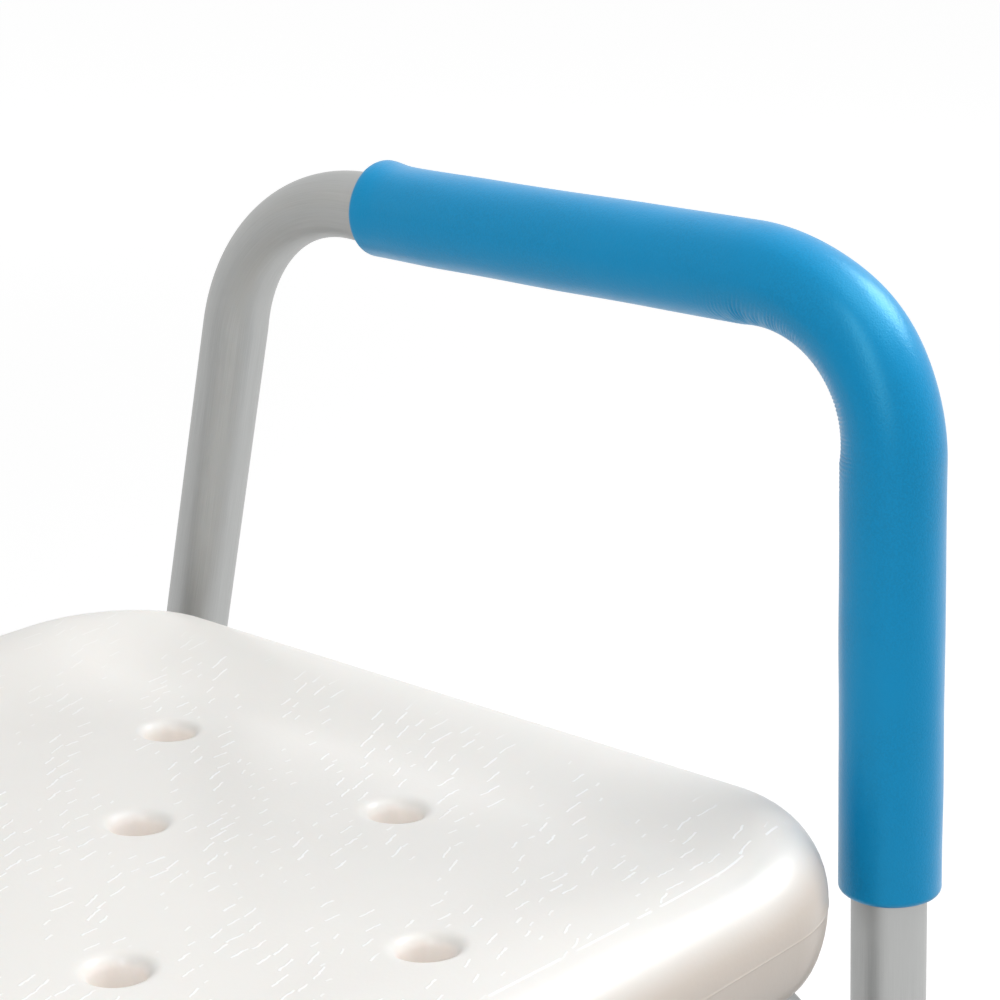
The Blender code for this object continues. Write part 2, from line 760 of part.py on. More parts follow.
def rubber_tip(end, side, pivot):
    """A ribbed cup on the sleeve's end. Its base is cut level, to stand flat under the slanted leg."""
    wall_r = SLEEVE_R + GAP + TIP_WALL
    cup = bore_radius(SLEEVE_R + GAP)
    profile = [(0, -0.010), (TIP_BASE_R, -0.010), (TIP_BASE_R, 0.004), (TIP_BASE_R - 0.001, TIP_BASE_HEIGHT)]
    start = TIP_BASE_HEIGHT + 0.004
    profile.append((wall_r, start))
    for i in range(TIP_RIBS):
        z = start + (i + 0.5) * TIP_RIB_PITCH
        rib_r = wall_r + TIP_RIB
        profile += [(wall_r, z), (rib_r, z + 0.001), (rib_r, z + 0.003), (wall_r, z + 0.004)]
    profile += [
        (wall_r - 0.0004, TIP_HEIGHT - 0.001),
        (wall_r - 0.0014, TIP_HEIGHT),
        (cup, TIP_HEIGHT),
        (cup, TIP_FLOOR),
        (0, TIP_FLOOR),
    ]
    name = f"rubber_tip_{end}_{side_name(side)}"
    obj = add(name, turned(profile, leg_axis(end, side)), grey_rubber(), parent=pivot)
    floor = bmesh.new()
    bmesh.ops.create_cube(floor, size=0.1)
    floor.transform(Matrix.Translation((side * leg_x(0), leg_y(end, 0), -0.05)))
    cut(obj, floor, name + "_floor")
    foot = Vector((side * leg_x(0), leg_y(end, 0), 0))
    tread = [(0, -0.005), (TIP_TREAD_R, -0.005), (TIP_TREAD_R, TIP_TREAD_DEPTH), (0, TIP_TREAD_DEPTH)]
    return cut(obj, turned(tread, Matrix.Translation(foot), 16), name + "_tread")


# Snap buttons


def nib(outer, seat_r):
    """Profile of a domed nib along its press axis, with the flange that keeps it in the tube."""
    tip = outer + NIB_PROUD
    flange_face = math.sqrt(seat_r**2 - NIB_FLANGE_R**2) - GAP
    return [
        (0, flange_face - NIB_FLANGE),
        (NIB_FLANGE_R, flange_face - NIB_FLANGE),
        (NIB_FLANGE_R, flange_face),
        (NIB_R, flange_face),
        (NIB_R, tip - 0.0012),
        (0.75 * NIB_R, tip - 0.0004),
        (0, tip),
    ]


def snap_button(name, frame, outer, parent):
    """frame's X axis is the press axis, at the height of the hole."""
    press = facing(frame.translation, frame.to_3x3() @ Vector((1, 0, 0)))
    bm = turned(nib(outer, FRAME_TUBE_R - FRAME_WALL), press, HOLE_SIDES)
    return add(name, bm, bright_steel(), parent=parent)


def snap_spring(name, frame):
    """A leaf folded to a V in the tube: one arm behind the nib, the other on the far wall."""
    bore = FRAME_TUBE_R - FRAME_WALL
    nib_back = math.sqrt(bore**2 - NIB_FLANGE_R**2) - GAP - NIB_FLANGE
    near = nib_back - GAP
    far = math.sqrt(bore**2 - (LEAF_WIDTH / 2) ** 2) - GAP
    t = LEAF_THICKNESS
    fold = 0.0012
    outline = [
        (near, -LEAF_TAIL),
        (near, LEAF_TAIL),
        (fold, LEAF_LENGTH),
        (0, LEAF_LENGTH + fold),
        (-fold, LEAF_LENGTH),
        (-far, LEAF_TAIL),
        (-far, -LEAF_TAIL),
        (-far + t, -LEAF_TAIL),
        (-far + t, LEAF_TAIL),
        (0, LEAF_LENGTH - fold),
        (near - t, LEAF_TAIL),
        (near - t, -LEAF_TAIL),
    ]
    rings = [[frame @ Vector((x, w, z)) for x, z in outline] for w in (-LEAF_WIDTH / 2, LEAF_WIDTH / 2)]
    return add(name, skin(rings), spring_steel(), frame)


def leg_button(end, side):
    tag = f"{end}_{side_name(side)}"
    frame = leg_axis(end, side) @ Matrix.Translation((0, 0, BUTTON_HEIGHT))
    pivot = add_empty(f"leg_button_axis_{tag}", frame)
    snap_button(f"leg_button_{tag}", frame, SLEEVE_R, pivot)
    snap_spring(f"leg_button_spring_{tag}", frame)


# Arms


def arm_corners(side):
    x = side * ARM_X
    return [
        Vector((x, arm_y("front", ARM_END_Z), ARM_END_Z)),
        Vector((x, arm_y("front", ARM_Z), ARM_Z)),
        Vector((x, arm_y("rear", ARM_Z), ARM_Z)),
        Vector((x, arm_y("rear", ARM_END_Z), ARM_END_Z)),
    ]


def arm_tube(side):
    path = bent_path(arm_corners(side), (ARM_FRONT_BEND_R, ARM_REAR_BEND_R))
    obj = add(
        f"arm_tube_{side_name(side)}",
        tube(path, Vector((-1, 0, 0)), ARM_TUBE_R, ARM_WALL, BEND_FLATTENING),
        anodised(),
        Matrix.Translation((side * ARM_X, 0, ARM_Z)),
    )
    holes = bmesh.new()
    for end in ENDS:
        add_skin(holes, bolt_hole(end, side, bolt_points(end, side)[0]))
    return cut(obj, holes, f"arm_tube_{side_name(side)}_holes")


def arm_grip(side):
    """A foam sleeve from the top bar round the front bend and down the front upright."""
    x = side * ARM_X
    low = ARM_Z - GRIP_DROP
    rear = arm_y("rear", ARM_Z) - GRIP_REAR_GAP
    corners = [
        Vector((x, arm_y("front", low), low)),
        Vector((x, arm_y("front", ARM_Z), ARM_Z)),
        Vector((x, rear, ARM_Z)),
    ]
    path = bent_path(corners, (ARM_FRONT_BEND_R,))
    plane = Vector((-1, 0, 0))
    bore = tube_rings(path, plane, bore_radius(ARM_TUBE_R + GAP), BEND_FLATTENING)
    wall = GRIP_R - ARM_TUBE_R
    skin_rings = tube_rings(path, plane, ARM_TUBE_R, BEND_FLATTENING, wall, GRIP_SQUEEZE)
    rounded = tube_rings(path, plane, ARM_TUBE_R, BEND_FLATTENING, wall - GRIP_END_ROUND)
    first, last = path[0][1] * GRIP_END_ROUND, path[-1][1] * GRIP_END_ROUND
    outer = [rounded[0], [p + first for p in skin_rings[0]]]
    outer += skin_rings[1:-1]
    outer += [[p - last for p in skin_rings[-1]], rounded[-1]]
    frame = Matrix.Translation((x, 0, ARM_Z))
    return add(f"arm_grip_{side_name(side)}", skin(outer + bore[::-1], loop=True), blue_foam(), frame)


def arm_cap(end, side):
    """A plug in the lower end of an arm upright."""
    bottom = Vector((side * ARM_X, arm_y(end, ARM_END_Z), ARM_END_Z))
    above = Vector((side * ARM_X, arm_y(end, ARM_Z), ARM_Z))
    frame = facing(bottom, above - bottom)
    stem = ARM_TUBE_R - ARM_WALL - 2 * GAP
    profile = [
        (0, -CAP_HEAD - GAP),
        (0.75 * ARM_TUBE_R, -0.85 * CAP_HEAD - GAP),
        (ARM_TUBE_R, -0.4 * CAP_HEAD - GAP),
        (ARM_TUBE_R, -GAP),
        (stem, -GAP),
        (stem, CAP_STEM - 0.001),
        (stem - 0.001, CAP_STEM),
        (0, CAP_STEM),
    ]
    name = f"arm_cap_{end}_{side_name(side)}"
    return add(name, turned(profile, frame), grey_nylon(), frame)


def stand_off(tube_r, bearing_r, bolt, tube_line):
    """How far from a tube's middle a flat bearing face clears it, where the bolt crosses it askew."""
    tilt = abs(math.pi / 2 - bolt.angle(tube_line))
    return tube_r / math.cos(tilt) + bearing_r * math.tan(tilt) + GAP


def arm_fastening(end, side):
    """A bolt through the arm upright, a saddle spacer and the leg, with a domed nut inside."""
    tag = f"{end}_{side_name(side)}"
    arm, leg = bolt_points(end, side)
    frame = facing(arm, leg - arm)
    arm_line = Vector((0, arm_y(end, 1) - arm_y(end, 0), 1))
    leg_line = leg_axis(end, side).to_3x3() @ Vector((0, 0, 1))
    far = (leg - arm).length + stand_off(FRAME_TUBE_R, NUT_R, leg - arm, leg_line)
    head = -stand_off(ARM_TUBE_R, BOLT_HEAD_R, leg - arm, arm_line)
    bolt = [
        (0.55 * BOLT_HEAD_R, head - 0.86 * BOLT_HEAD),
        (0.88 * BOLT_HEAD_R, head - 0.5 * BOLT_HEAD),
        (BOLT_HEAD_R, head - 0.001),
        (BOLT_HEAD_R, head),
        (BOLT_R, head),
        (BOLT_R, far + NUT_BORE_LENGTH - 0.001),
        (0, far + NUT_BORE_LENGTH - GAP),
    ]
    socket = [hexagon(frame, BOLT_SOCKET_R, head - BOLT_HEAD + z) for z in (BOLT_SOCKET_DEPTH, 0.0002)]
    floor = [frame @ Vector((0, 0, head - BOLT_HEAD + BOLT_SOCKET_DEPTH))]
    add(f"arm_bolt_{tag}", skin([floor] + socket + lathe_rings(bolt, frame, 12)), bright_steel(), frame)
    add(f"arm_nut_{tag}", skin(nut_rings(frame, far)), bright_steel(), frame)
    add_spacer(tag, arm, leg, frame)


def hexagon(frame, radius, z, sides=12):
    """Points round a hexagon whose corners are at this radius, every other one at a corner."""
    centre = frame @ Vector((0, 0, z))
    ring = lathe_rings([(radius, z)], frame, sides)[0]
    return [p if i % 2 == 0 else centre.lerp(p, math.cos(math.pi / 6)) for i, p in enumerate(ring)]


def nut_rings(frame, start):
    """A hexagon that runs into a dome, with a blind bore, along the frame's Z from start."""
    bore = bore_radius(BOLT_R + HOLE_GAP, 12)
    end = start + NUT_LENGTH
    floor = start + NUT_BORE_LENGTH
    blind = lathe_rings([(0, floor), (bore, floor), (bore, start)], frame, 12)
    flats = [hexagon(frame, NUT_R, z) for z in (start, start + 0.004)]
    dome = [(0.80, start + 0.0042), (0.72, end - 0.0024), (0.45, end - 0.0006), (0, end)]
    return blind + flats + lathe_rings([(r * NUT_R, z) for r, z in dome], frame, 12)


def add_spacer(tag, arm, leg, frame):
    """A short round block, hollowed at each end to the tube that it bears on."""
    length = (arm - leg).length
    profile = [
        (bore_radius(BOLT_R + HOLE_GAP, 12), 0),
        (SPACER_R + SPACER_FLARE, 0),
        (SPACER_R, 0.5 * length),
        (SPACER_R + SPACER_FLARE, length),
        (bore_radius(BOLT_R + HOLE_GAP, 12), length),
    ]
    obj = add(f"arm_spacer_{tag}", turned(profile, frame, 12, loop=True), grey_nylon(), frame)
    end, side = tag.split("_")[0], LEFT if tag.endswith("left") else RIGHT
    up = (Vector((arm.x, arm_y(end, ARM_Z), ARM_Z)) - arm).normalized() * 0.05
    cut(obj, skin(rod_rings(arm - up, arm + up, bore_radius(ARM_TUBE_R + GAP))), f"arm_spacer_{tag}_arm")
    slant = leg_axis(end, side).to_3x3() @ Vector((0, 0, 0.05))
    room = skin(rod_rings(leg - slant, leg + slant, bore_radius(FRAME_TUBE_R + GAP)))
    return cut(obj, room, f"arm_spacer_{tag}_leg")


# Back


def back_tube(side, pivot):
    x = side * BACK_TUBE_X
    frame = back_frame()
    corners = [
        Vector((x, BACK_Y, BACK_TUBE_SEAT_Z)),
        Vector((x, BACK_Y, BACK_BEND_Z)),
        frame @ Vector((x, 0, BACK_TUBE_TOP)),
    ]
    path = bent_path(corners, (BACK_BEND_R,), 4)
    name = f"back_tube_{side_name(side)}"
    obj = add(name, tube(path, Vector((1, 0, 0)), FRAME_TUBE_R, FRAME_WALL), anodised(), parent=pivot)
    holes = bmesh.new()
    low = Vector((x, BACK_Y, SOCKET_BUTTON_Z))
    add_skin(holes, rod_rings(low, low + Vector((0, 0.03, 0)), HOLE_R, HOLE_SIDES))
    screw = Vector((x, 0, PANEL_SCREW_Z))
    start, stop = frame @ screw, frame @ (screw + Vector((0, 0.03, 0)))
    add_skin(holes, rod_rings(start, stop, SCREW_R + HOLE_GAP, HOLE_SIDES))
    return cut(obj, holes, name + "_holes")


def panel_front(x, z):
    """Height of the panel's front face above its middle plane: hollowed from side to side."""
    share = max(0.0, 1 - (x / (PANEL_WIDTH / 2 - PANEL_ROLL)) ** 2)
    return PANEL_THICKNESS / 2 - PANEL_DISH * share


def back_panel(pivot):
    """A moulded panel with a hand slot and two blind bores that take the back tubes from below."""
    frame = back_frame()
    low, high = PANEL_BOTTOM, PANEL_BOTTOM + PANEL_HEIGHT
    outlines = []
    for inset in (PANEL_ROLL, 0, PANEL_ROLL):
        corner = (PANEL_CORNER - inset,) * 2
        outlines.append(rounded_outline(PANEL_WIDTH / 2 - inset, low + inset, high - inset, corner, corner))
    rings = moulded_rings(*outlines, panel_front, 0.0, -PANEL_THICKNESS / 2)
    to_world = frame @ Matrix.Rotation(math.radians(90), 4, "X")
    rings = [[to_world @ p for p in ring] for ring in rings]
    obj = add("back_panel", skin(rings), white_moulding(), parent=pivot)
    cut(obj, slot_cutter(to_world), "back_panel_slot")
    bores = bmesh.new()
    for side in (LEFT, RIGHT):
        x = side * BACK_TUBE_X
        start, stop = (frame @ Vector((x, 0, z)) for z in (PANEL_BOTTOM - 0.01, BACK_TUBE_TOP + GAP))
        add_skin(bores, rod_rings(start, stop, bore_radius(FRAME_TUBE_R + GAP)))
    cut(obj, bores, "back_panel_bores")
    holes = bmesh.new()
    for side in (LEFT, RIGHT):
        screw = Vector((side * BACK_TUBE_X, 0, PANEL_SCREW_Z))
        start, stop = frame @ (screw + Vector((0, 0.005, 0))), frame @ (screw + Vector((0, 0.03, 0)))
        add_skin(holes, rod_rings(start, stop, SCREW_R + HOLE_GAP, HOLE_SIDES))
    return cut(obj, holes, "back_panel_screw_holes")


def slot_cutter(to_world):
    """The hand slot, as a stadium that widens towards both faces."""
    middle = PANEL_BOTTOM + PANEL_HEIGHT - SLOT_DROP
    rings = []
    for depth, extra in ((-0.5, 0.006), (-0.22, 0.0), (0.22, 0.0), (0.5, 0.006)):
        half_w, half_h = SLOT_WIDTH / 2 + extra, SLOT_HEIGHT / 2 + extra
        reach = 1.0 if abs(depth) < 0.5 else 1.15
        z = depth * PANEL_THICKNESS * reach
        ring = []
        for i in range(24):
            angle = 2 * math.pi * (i + 0.5) / 24
            x = math.copysign(half_w - half_h, math.cos(angle)) + half_h * math.cos(angle)
            ring.append(to_world @ Vector((x, middle + half_h * math.sin(angle), z)))
        rings.append(ring)
    return skin(rings)


def panel_screw(side, pivot):
    """A pan-head screw from behind, through the panel's rear wall and into the tube."""
    place = back_frame() @ Vector((side * BACK_TUBE_X, 0, PANEL_SCREW_Z))
    frame = facing(place, back_frame().to_3x3() @ Vector((0, 1, 0)))
    face = PANEL_THICKNESS / 2 + GAP
    profile = [
        (0, FRAME_TUBE_R - FRAME_WALL - 0.004),
        (SCREW_R, FRAME_TUBE_R - FRAME_WALL - 0.002),
        (SCREW_R, face),
        (SCREW_HEAD_R, face),
        (SCREW_HEAD_R, face + 0.55 * SCREW_HEAD),
        (0.6 * SCREW_HEAD_R, face + SCREW_HEAD),
        (0, face + SCREW_HEAD),
    ]
    name = f"panel_screw_{side_name(side)}"
    obj = add(name, turned(profile, frame, HOLE_SIDES), bright_steel(), parent=pivot)
    return cut(obj, cross_recess(frame, face + SCREW_HEAD, -RECESS_DEPTH), name + "_recess")


def back_socket(side):
    """A moulded socket behind the seat. Its foot runs under the seat's edge and cups the rear bar."""
    x = side * BACK_TUBE_X
    frame = Matrix.Translation((x, BACK_Y, SOCKET_TOP))
    bar = BAR_Y["rear"]
    top = SEAT_BOTTOM_Z - GAP
    low = top - SOCKET_FOOT_THICKNESS
    outline = [
        (bar - SOCKET_NECK - 0.005, low),
        (BACK_Y, low),
        (BACK_Y, top),
        (leg_y("rear", top) + SOCKET_NECK, top),
        (bar + SOCKET_NECK, BAR_Z),
        (bar - SOCKET_NECK, BAR_Z),
        (leg_y("rear", top) - SOCKET_NECK, top),
        (bar - SOCKET_NECK - 0.005, top),
    ]
    half = SOCKET_FOOT_WIDTH / 2
    foot = skin([[Vector((x + w, y, z)) for y, z in outline] for w in (-half, half)])
    name = f"back_socket_{side_name(side)}"
    obj = add(name, foot, grey_nylon(), frame)
    floor = BACK_TUBE_SEAT_Z - GAP - SOCKET_FLOOR
    barrel = [
        (0, floor),
        (SOCKET_R - 0.002, floor),
        (SOCKET_R, floor + 0.003),
        (SOCKET_R, SOCKET_TOP - 0.001),
        (SOCKET_R - 0.001, SOCKET_TOP),
        (0, SOCKET_TOP),
    ]
    join(obj, turned(barrel, Matrix.Translation((x, BACK_Y, 0))), name + "_barrel")
    cuts = bmesh.new()
    start, stop = (Vector((x, BACK_Y, z)) for z in (BACK_TUBE_SEAT_Z - GAP, SOCKET_TOP + 0.01))
    add_skin(cuts, rod_rings(start, stop, bore_radius(SOCKET_BORE_R)))
    cut(obj, cuts, name + "_bore")
    reach = Vector((0.04, 0, 0))
    middle = Vector((x, bar, BAR_Z))
    saddle = skin(rod_rings(middle - reach, middle + reach, bore_radius(FRAME_TUBE_R + GAP)))
    cut(obj, saddle, name + "_saddle")
    small = bmesh.new()
    hole = Vector((x, BACK_Y, SOCKET_BUTTON_Z))
    add_skin(small, rod_rings(hole, hole + Vector((0, 0.03, 0)), HOLE_R, HOLE_SIDES))
    drain = Vector((x, BACK_Y, floor - 0.005))
    add_skin(small, rod_rings(drain, drain + Vector((0, 0, 0.015)), 0.003, HOLE_SIDES))
    under = Vector((x, bar, low - 0.01))
    add_skin(small, rod_rings(under, Vector((x, bar, BAR_Z)), SCREW_R + HOLE_GAP, HOLE_SIDES))
    return cut(obj, small, name + "_holes")


def back_button(side, pivot):
    tag = side_name(side)
    place = Vector((side * BACK_TUBE_X, BACK_Y, SOCKET_BUTTON_Z))
    frame = Matrix.Translation(place) @ Matrix.Rotation(math.radians(90), 4, "Z")
    empty = add_empty(f"back_button_axis_{tag}", frame)
    snap_button(f"back_button_{tag}", frame, SOCKET_R, empty)
    snap_spring(f"back_button_spring_{tag}", frame)


# The whole chair


def side_name(side):
    return "left" if side == LEFT else "right"


def clear_scene():
    for obj in list(bpy.data.objects):
        bpy.data.objects.remove(obj)


def legs():
    for end in ENDS:
        leg_frame(end)
        for side in (LEFT, RIGHT):
            pivot = add_empty(f"leg_axis_{end}_{side_name(side)}", leg_axis(end, side))
            leg_extension(end, side, pivot)
            leg_collar(end, side, pivot)
            rubber_tip(end, side, pivot)
            leg_button(end, side)
            seat_screw(end, side)


def arms():
    for side in (LEFT, RIGHT):
        arm_tube(side)
        arm_grip(side)
        for end in ENDS:
            arm_cap(end, side)
            arm_fastening(end, side)


def back():
    pivot = add_empty("back_axis", Matrix.Translation((0, BACK_Y, BACK_TUBE_SEAT_Z)))
    back_panel(pivot)
    for side in (LEFT, RIGHT):
        back_socket(side)
        back_tube(side, pivot)
        panel_screw(side, pivot)
        back_button(side, pivot)


clear_scene()
seat()
legs()
arms()
back()
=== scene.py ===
"""Finished surfaces of a bath chair, built around its construction.

Metres, +Z up, +X to the sitter's left, -Y to the front. The origin is on the floor, midway between the feet.
"""

from functools import partial
from math import copysign, cos, exp, hypot, pi, radians, sin, sqrt, tan

import bmesh
import bpy
from bpy.types import NodeSocket, Operator, Panel, PropertyGroup
from mathutils import Matrix, Vector, noise
from mathutils.geometry import delaunay_2d_cdt


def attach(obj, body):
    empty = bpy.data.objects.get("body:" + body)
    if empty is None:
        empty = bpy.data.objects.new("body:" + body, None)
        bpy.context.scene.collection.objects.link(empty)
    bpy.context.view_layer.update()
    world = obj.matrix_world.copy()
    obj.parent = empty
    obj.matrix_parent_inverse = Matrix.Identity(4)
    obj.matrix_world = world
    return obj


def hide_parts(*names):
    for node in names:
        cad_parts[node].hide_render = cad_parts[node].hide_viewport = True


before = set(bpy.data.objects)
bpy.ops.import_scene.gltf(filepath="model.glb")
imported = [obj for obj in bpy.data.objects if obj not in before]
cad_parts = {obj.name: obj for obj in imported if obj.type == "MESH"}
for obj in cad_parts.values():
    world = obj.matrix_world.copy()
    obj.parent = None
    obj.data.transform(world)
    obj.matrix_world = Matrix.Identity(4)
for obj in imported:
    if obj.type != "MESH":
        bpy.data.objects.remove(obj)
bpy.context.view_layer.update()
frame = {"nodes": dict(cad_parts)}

bl_info = {
    "name": "Bath chair",
    "version": (1, 0, 0),
    "blender": (4, 5, 0),
    "location": "3D View > Sidebar > Bath chair",
    "description": "Models the finished surfaces of a bath chair around its construction",
    "category": "Add Mesh",
}

LEFT, RIGHT = 1, -1
ENDS = ("front", "rear")
SIDES = (("left", LEFT), ("right", RIGHT))
CORNERS = [(f"{end}_{name}", end, side) for end in ENDS for name, side in SIDES]
X, Y, Z = Vector((1, 0, 0)), Vector((0, 1, 0)), Vector((0, 0, 1))
SCREW_HOLE_R, SCREW_BITE, BOLT_HOLE_R = 0.0027, 0.016, 0.0033
FLANGE_R, FLANGE = 0.0046, 0.0012
BOLT_HEAD_R, NUT_R = 0.0072, 0.0058
SOCKET_FOOT = 0.0125
WHITE = (1, 1, 1, 1)


# Sizes and colours that a user would change


def length(default, text):
    return bpy.props.FloatProperty(description=text, default=default, min=0.0, precision=5, unit="LENGTH")


def angle(degrees, text):
    return bpy.props.FloatProperty(description=text, default=radians(degrees), subtype="ANGLE")


def amount(default, text, high=1.0):
    return bpy.props.FloatProperty(description=text, default=default, min=0.0, max=high, subtype="FACTOR")


def watts(default, text):
    return bpy.props.FloatProperty(description=text, default=default, min=0.0)


def colour(default, text):
    limits = {"size": 3, "min": 0.0, "max": 1.0}
    return bpy.props.FloatVectorProperty(description=text, default=default, subtype="COLOR", **limits)


def part(kind, text):
    return bpy.props.PointerProperty(description=text, type=kind)


def labelled(group):
    """Gives each property in a group a label that is made from its name."""
    for key, made in group.__annotations__.items():
        made.keywords["name"] = key.replace("_", " ").capitalize()
    return group


@labelled
class ChairFrame(PropertyGroup):
    foot_spread: length(0.437, "Front feet to rear feet, between middles")
    leg_lean_front: angle(3.36, "How far the front legs lean in")
    leg_lean_rear: angle(13.15, "How far the rear legs lean in")
    arm_lean_front: angle(2.33, "How far the front arm uprights lean in")
    arm_lean_rear: angle(12.39, "How far the rear arm uprights lean in")
    leg_splay: angle(8.0, "How far the legs spread sideways")
    bar_z: length(0.366, "Height of the bars under the seat")
    corner_x: length(0.2014, "Where a leg's line meets its bar, from the middle")
    tube_r: length(0.0111, "Outer radius of the leg and back tubes")
    wall: length(0.0016, "Wall of the leg and back tubes")
    bend_r: length(0.060, "Middle line of the bend under the seat's corner")
    leg_end: length(0.035, "Where a frame leg ends, along the leg from the floor")
    arm_x: length(0.2521, "Middle of the arm tubes, from the middle of the chair")
    arm_z: length(0.575, "Height of the arm's top bar")
    arm_r: length(0.0127, "Outer radius of the arm tubes")
    arm_wall: length(0.0016, "Wall of the arm tubes")
    arm_front_bend_r: length(0.057, "Middle line of the front bend")
    arm_rear_bend_r: length(0.070, "Middle line of the rear bend")
    flattening: amount(0.18, "How far a bend's inner side is drawn out flat")
    arm_end_z: length(0.262, "Height of the arm uprights' lower ends")
    bolt_z: length(0.285, "Height of the bolts that hold the arms")
    gap: length(0.0003, "Clearance between pieces that touch")


@labelled
class ChairSeat(PropertyGroup):
    width: length(0.458, "Side to side")
    height: length(0.4127, "Top of the rim")
    thickness: length(0.053, "Rim to underside")
    front_y: length(0.215, "Front edge, from the middle of the chair")
    rear_y: length(0.151, "Rear edge, from the middle of the chair")
    parting_drop: length(0.0275, "Depth of the parting line under the rim")
    side_roll: length(0.018, "Width of the rolled edge at the sides")
    front_roll: length(0.024, "Width of the rolled edge at the front")
    rear_roll: length(0.024, "Width of the rolled edge at the rear")
    under_roll: length(0.009, "Width of the roll back to the underside")
    front_corner_x: length(0.048, "Front corner, from side to side")
    front_corner_y: length(0.041, "Front corner, from front to rear")
    rear_corner_x: length(0.060, "Rear corner, from side to side")
    rear_corner_y: length(0.058, "Rear corner, from front to rear")
    bow: length(0.003, "How far the front edge bows out")
    dish: length(0.0085, "Depth of the valley inside the rim")
    ramp: length(0.045, "Width of the slope from rim to valley")
    rear_ramp: length(0.055, "Width of the slope at the rear")
    crown: length(0.003, "Rise of the seat's middle over the valley")
    drain_y: length(0.029, "Centre of the drain holes, forward of the middle of the chair")
    drain_r: length(0.0085, "Bore of a drain hole")
    drain_lip: length(0.0048, "Rounding round a drain hole")
    inner_ring: length(0.0755, "Radius of the inner ring of drain holes")
    outer_ring: length(0.1497, "Radius of the outer ring of drain holes")
    outer_low: angle(-62.8, "Angle of the outer ring's front holes")
    outer_side: angle(21.4, "Angle of the outer ring's side holes, before and behind")
    outer_high: angle(50.0, "Angle of the outer ring's rear holes")
    screw_x: length(0.13204, "Seat screws, from the middle")
    mesh_step: length(0.005, "Distance between the points of the upper surface")


@labelled
class ChairGrip(PropertyGroup):
    radius: length(0.0172, "Outer radius of the foam")
    rear_gap: length(0.0659, "From the rear corner of the arm's line to the foam's end")
    drop: length(0.2017, "Arm's line down to the foam's lower end")
    squeeze: amount(0.15, "How far the inner side of the bend is pressed")
    bulge: length(0.0011, "How far the foam swells on the outer side of the bend, at its middle")
    end_round: length(0.0022, "Rounded rim at the foam's ends")
    flare: length(0.0013, "Swelling of the upper side near the rear end")
    sag: length(0.0004, "How far the foam hangs below the arm's top bar, and stands forward of its upright")
    crease: length(0.00040, "Depth of the wrinkles inside the bend")
    crease_pitch: length(0.0017, "Distance between wrinkles")


@labelled
class ChairLegParts(PropertyGroup):
    sleeve_wall: length(0.0013, "Wall of a leg extension")
    sleeve_bottom: length(0.010, "Lower end, along the leg")
    sleeve_top: length(0.245, "Upper end, along the leg")
    button_height: length(0.062, "Snap button, along the leg")
    hole_pitch: length(0.0254, "Distance between height holes")
    hole_count: bpy.props.IntProperty(description="Height holes in each leg", default=7, min=1)
    collar_length: length(0.018, "Collar below the sleeve's mouth")
    collar_wall: length(0.0026, "Wall of the collar")
    collar_lip: length(0.003, "Collar above the sleeve's mouth")
    tip_height: length(0.042, "Rubber tip, along the leg")
    tip_wall: length(0.0032, "Wall of the rubber tip")
    tip_floor: length(0.0094, "Thickness under the sleeve")
    tip_base_r: length(0.020, "Foot of the rubber tip")
    nib_r: length(0.0034, "Radius of a snap button")
    nib_proud: length(0.003, "How far a snap button stands out")
    leaf_width: length(0.007, "Width of the leaf springs")
    leaf_thickness: length(0.0007, "Thickness of the leaf springs")
    leaf_length: length(0.038, "Length of the leaf springs")


@labelled
class ChairBack(PropertyGroup):
    y: length(0.1669, "Middle of the back tubes, behind the middle of the chair")
    bend_z: length(0.4607, "Where the back tubes bend back")
    lean: angle(7.5, "How far the back leans back")
    bend_r: length(0.120, "Middle line of the back tubes' bend")
    tube_top: length(0.290, "Upper end of the back tubes above the bend")
    tube_foot_z: length(0.3337, "Lower end of the back tubes")
    panel_width: length(0.340, "Side to side")
    panel_bottom: length(0.118, "Lower edge above the bend")
    panel_height: length(0.207, "Lower to upper edge")
    panel_thickness: length(0.032, "Front to rear")
    panel_corner: length(0.048, "Radius of the panel's corners")
    panel_roll: length(0.013, "Rounded edge of the panel")
    panel_dish: length(0.006, "How far the front face is hollowed")
    slot_width: length(0.112, "Hand slot, side to side")
    slot_height: length(0.024, "Hand slot, top to bottom")
    slot_drop: length(0.040, "Hand slot below the upper edge")
    screw_z: length(0.235, "Panel screws above the bend")
    socket_wall: length(0.0030, "Wall of the back sockets")
    socket_top: length(0.4057, "Upper end of the back sockets")
    socket_floor: length(0.006, "Floor of the back sockets")


@labelled
class ChairFinishes(PropertyGroup):
    foam: colour((0.0, 0.265, 0.570), "Blue foam skin")
    moulding: colour((0.83, 0.81, 0.775), "Warm white plastic")
    # Painted light: a lighter tone on the drain holes' walls, where shade would fall, standing in for light
    # that passes through the plastic.
    bore: colour((0.97, 0.91, 0.86), "Plastic in the drain holes, where light passes through it")
    # Painted shade: a darker, warmer tone mixed onto the front and lower part of the seat's rim, where it is
    # turned from the lamps, warmed as though lit through the plastic.
    lower: colour((0.65, 0.58, 0.515), "Warmer plastic on the lower part of the rim")
    aluminium: colour((0.43, 0.435, 0.43), "Satin anodised tube")
    nylon: colour((0.34, 0.35, 0.36), "Collars, caps and sockets")
    rubber: colour((0.28, 0.29, 0.30), "Tips")
    steel: colour((0.70, 0.70, 0.71), "Bright plated fasteners")
    spring: colour((0.42, 0.42, 0.43), "Leaf springs")


@labelled
class ChairStage(PropertyGroup):
    key_power: watts(31.0, "Key light")
    front_power: watts(14.0, "Front light")
    fill_power: watts(14.0, "Fill light")
    ambient: amount(0.42, "Soft light from all round", 2.0)
    floor: colour((0.48, 0.48, 0.48), "Floor, before the glow that makes it white")


@labelled
class BathChair(PropertyGroup):
    frame: part(ChairFrame, "Tubes")
    seat: part(ChairSeat, "Moulded seat")
    grip: part(ChairGrip, "Foam grips")
    legs: part(ChairLegParts, "Telescoping legs")
    back: part(ChairBack, "Lift-off back")
    finishes: part(ChairFinishes, "Colours")
    stage: part(ChairStage, "Floor and light")


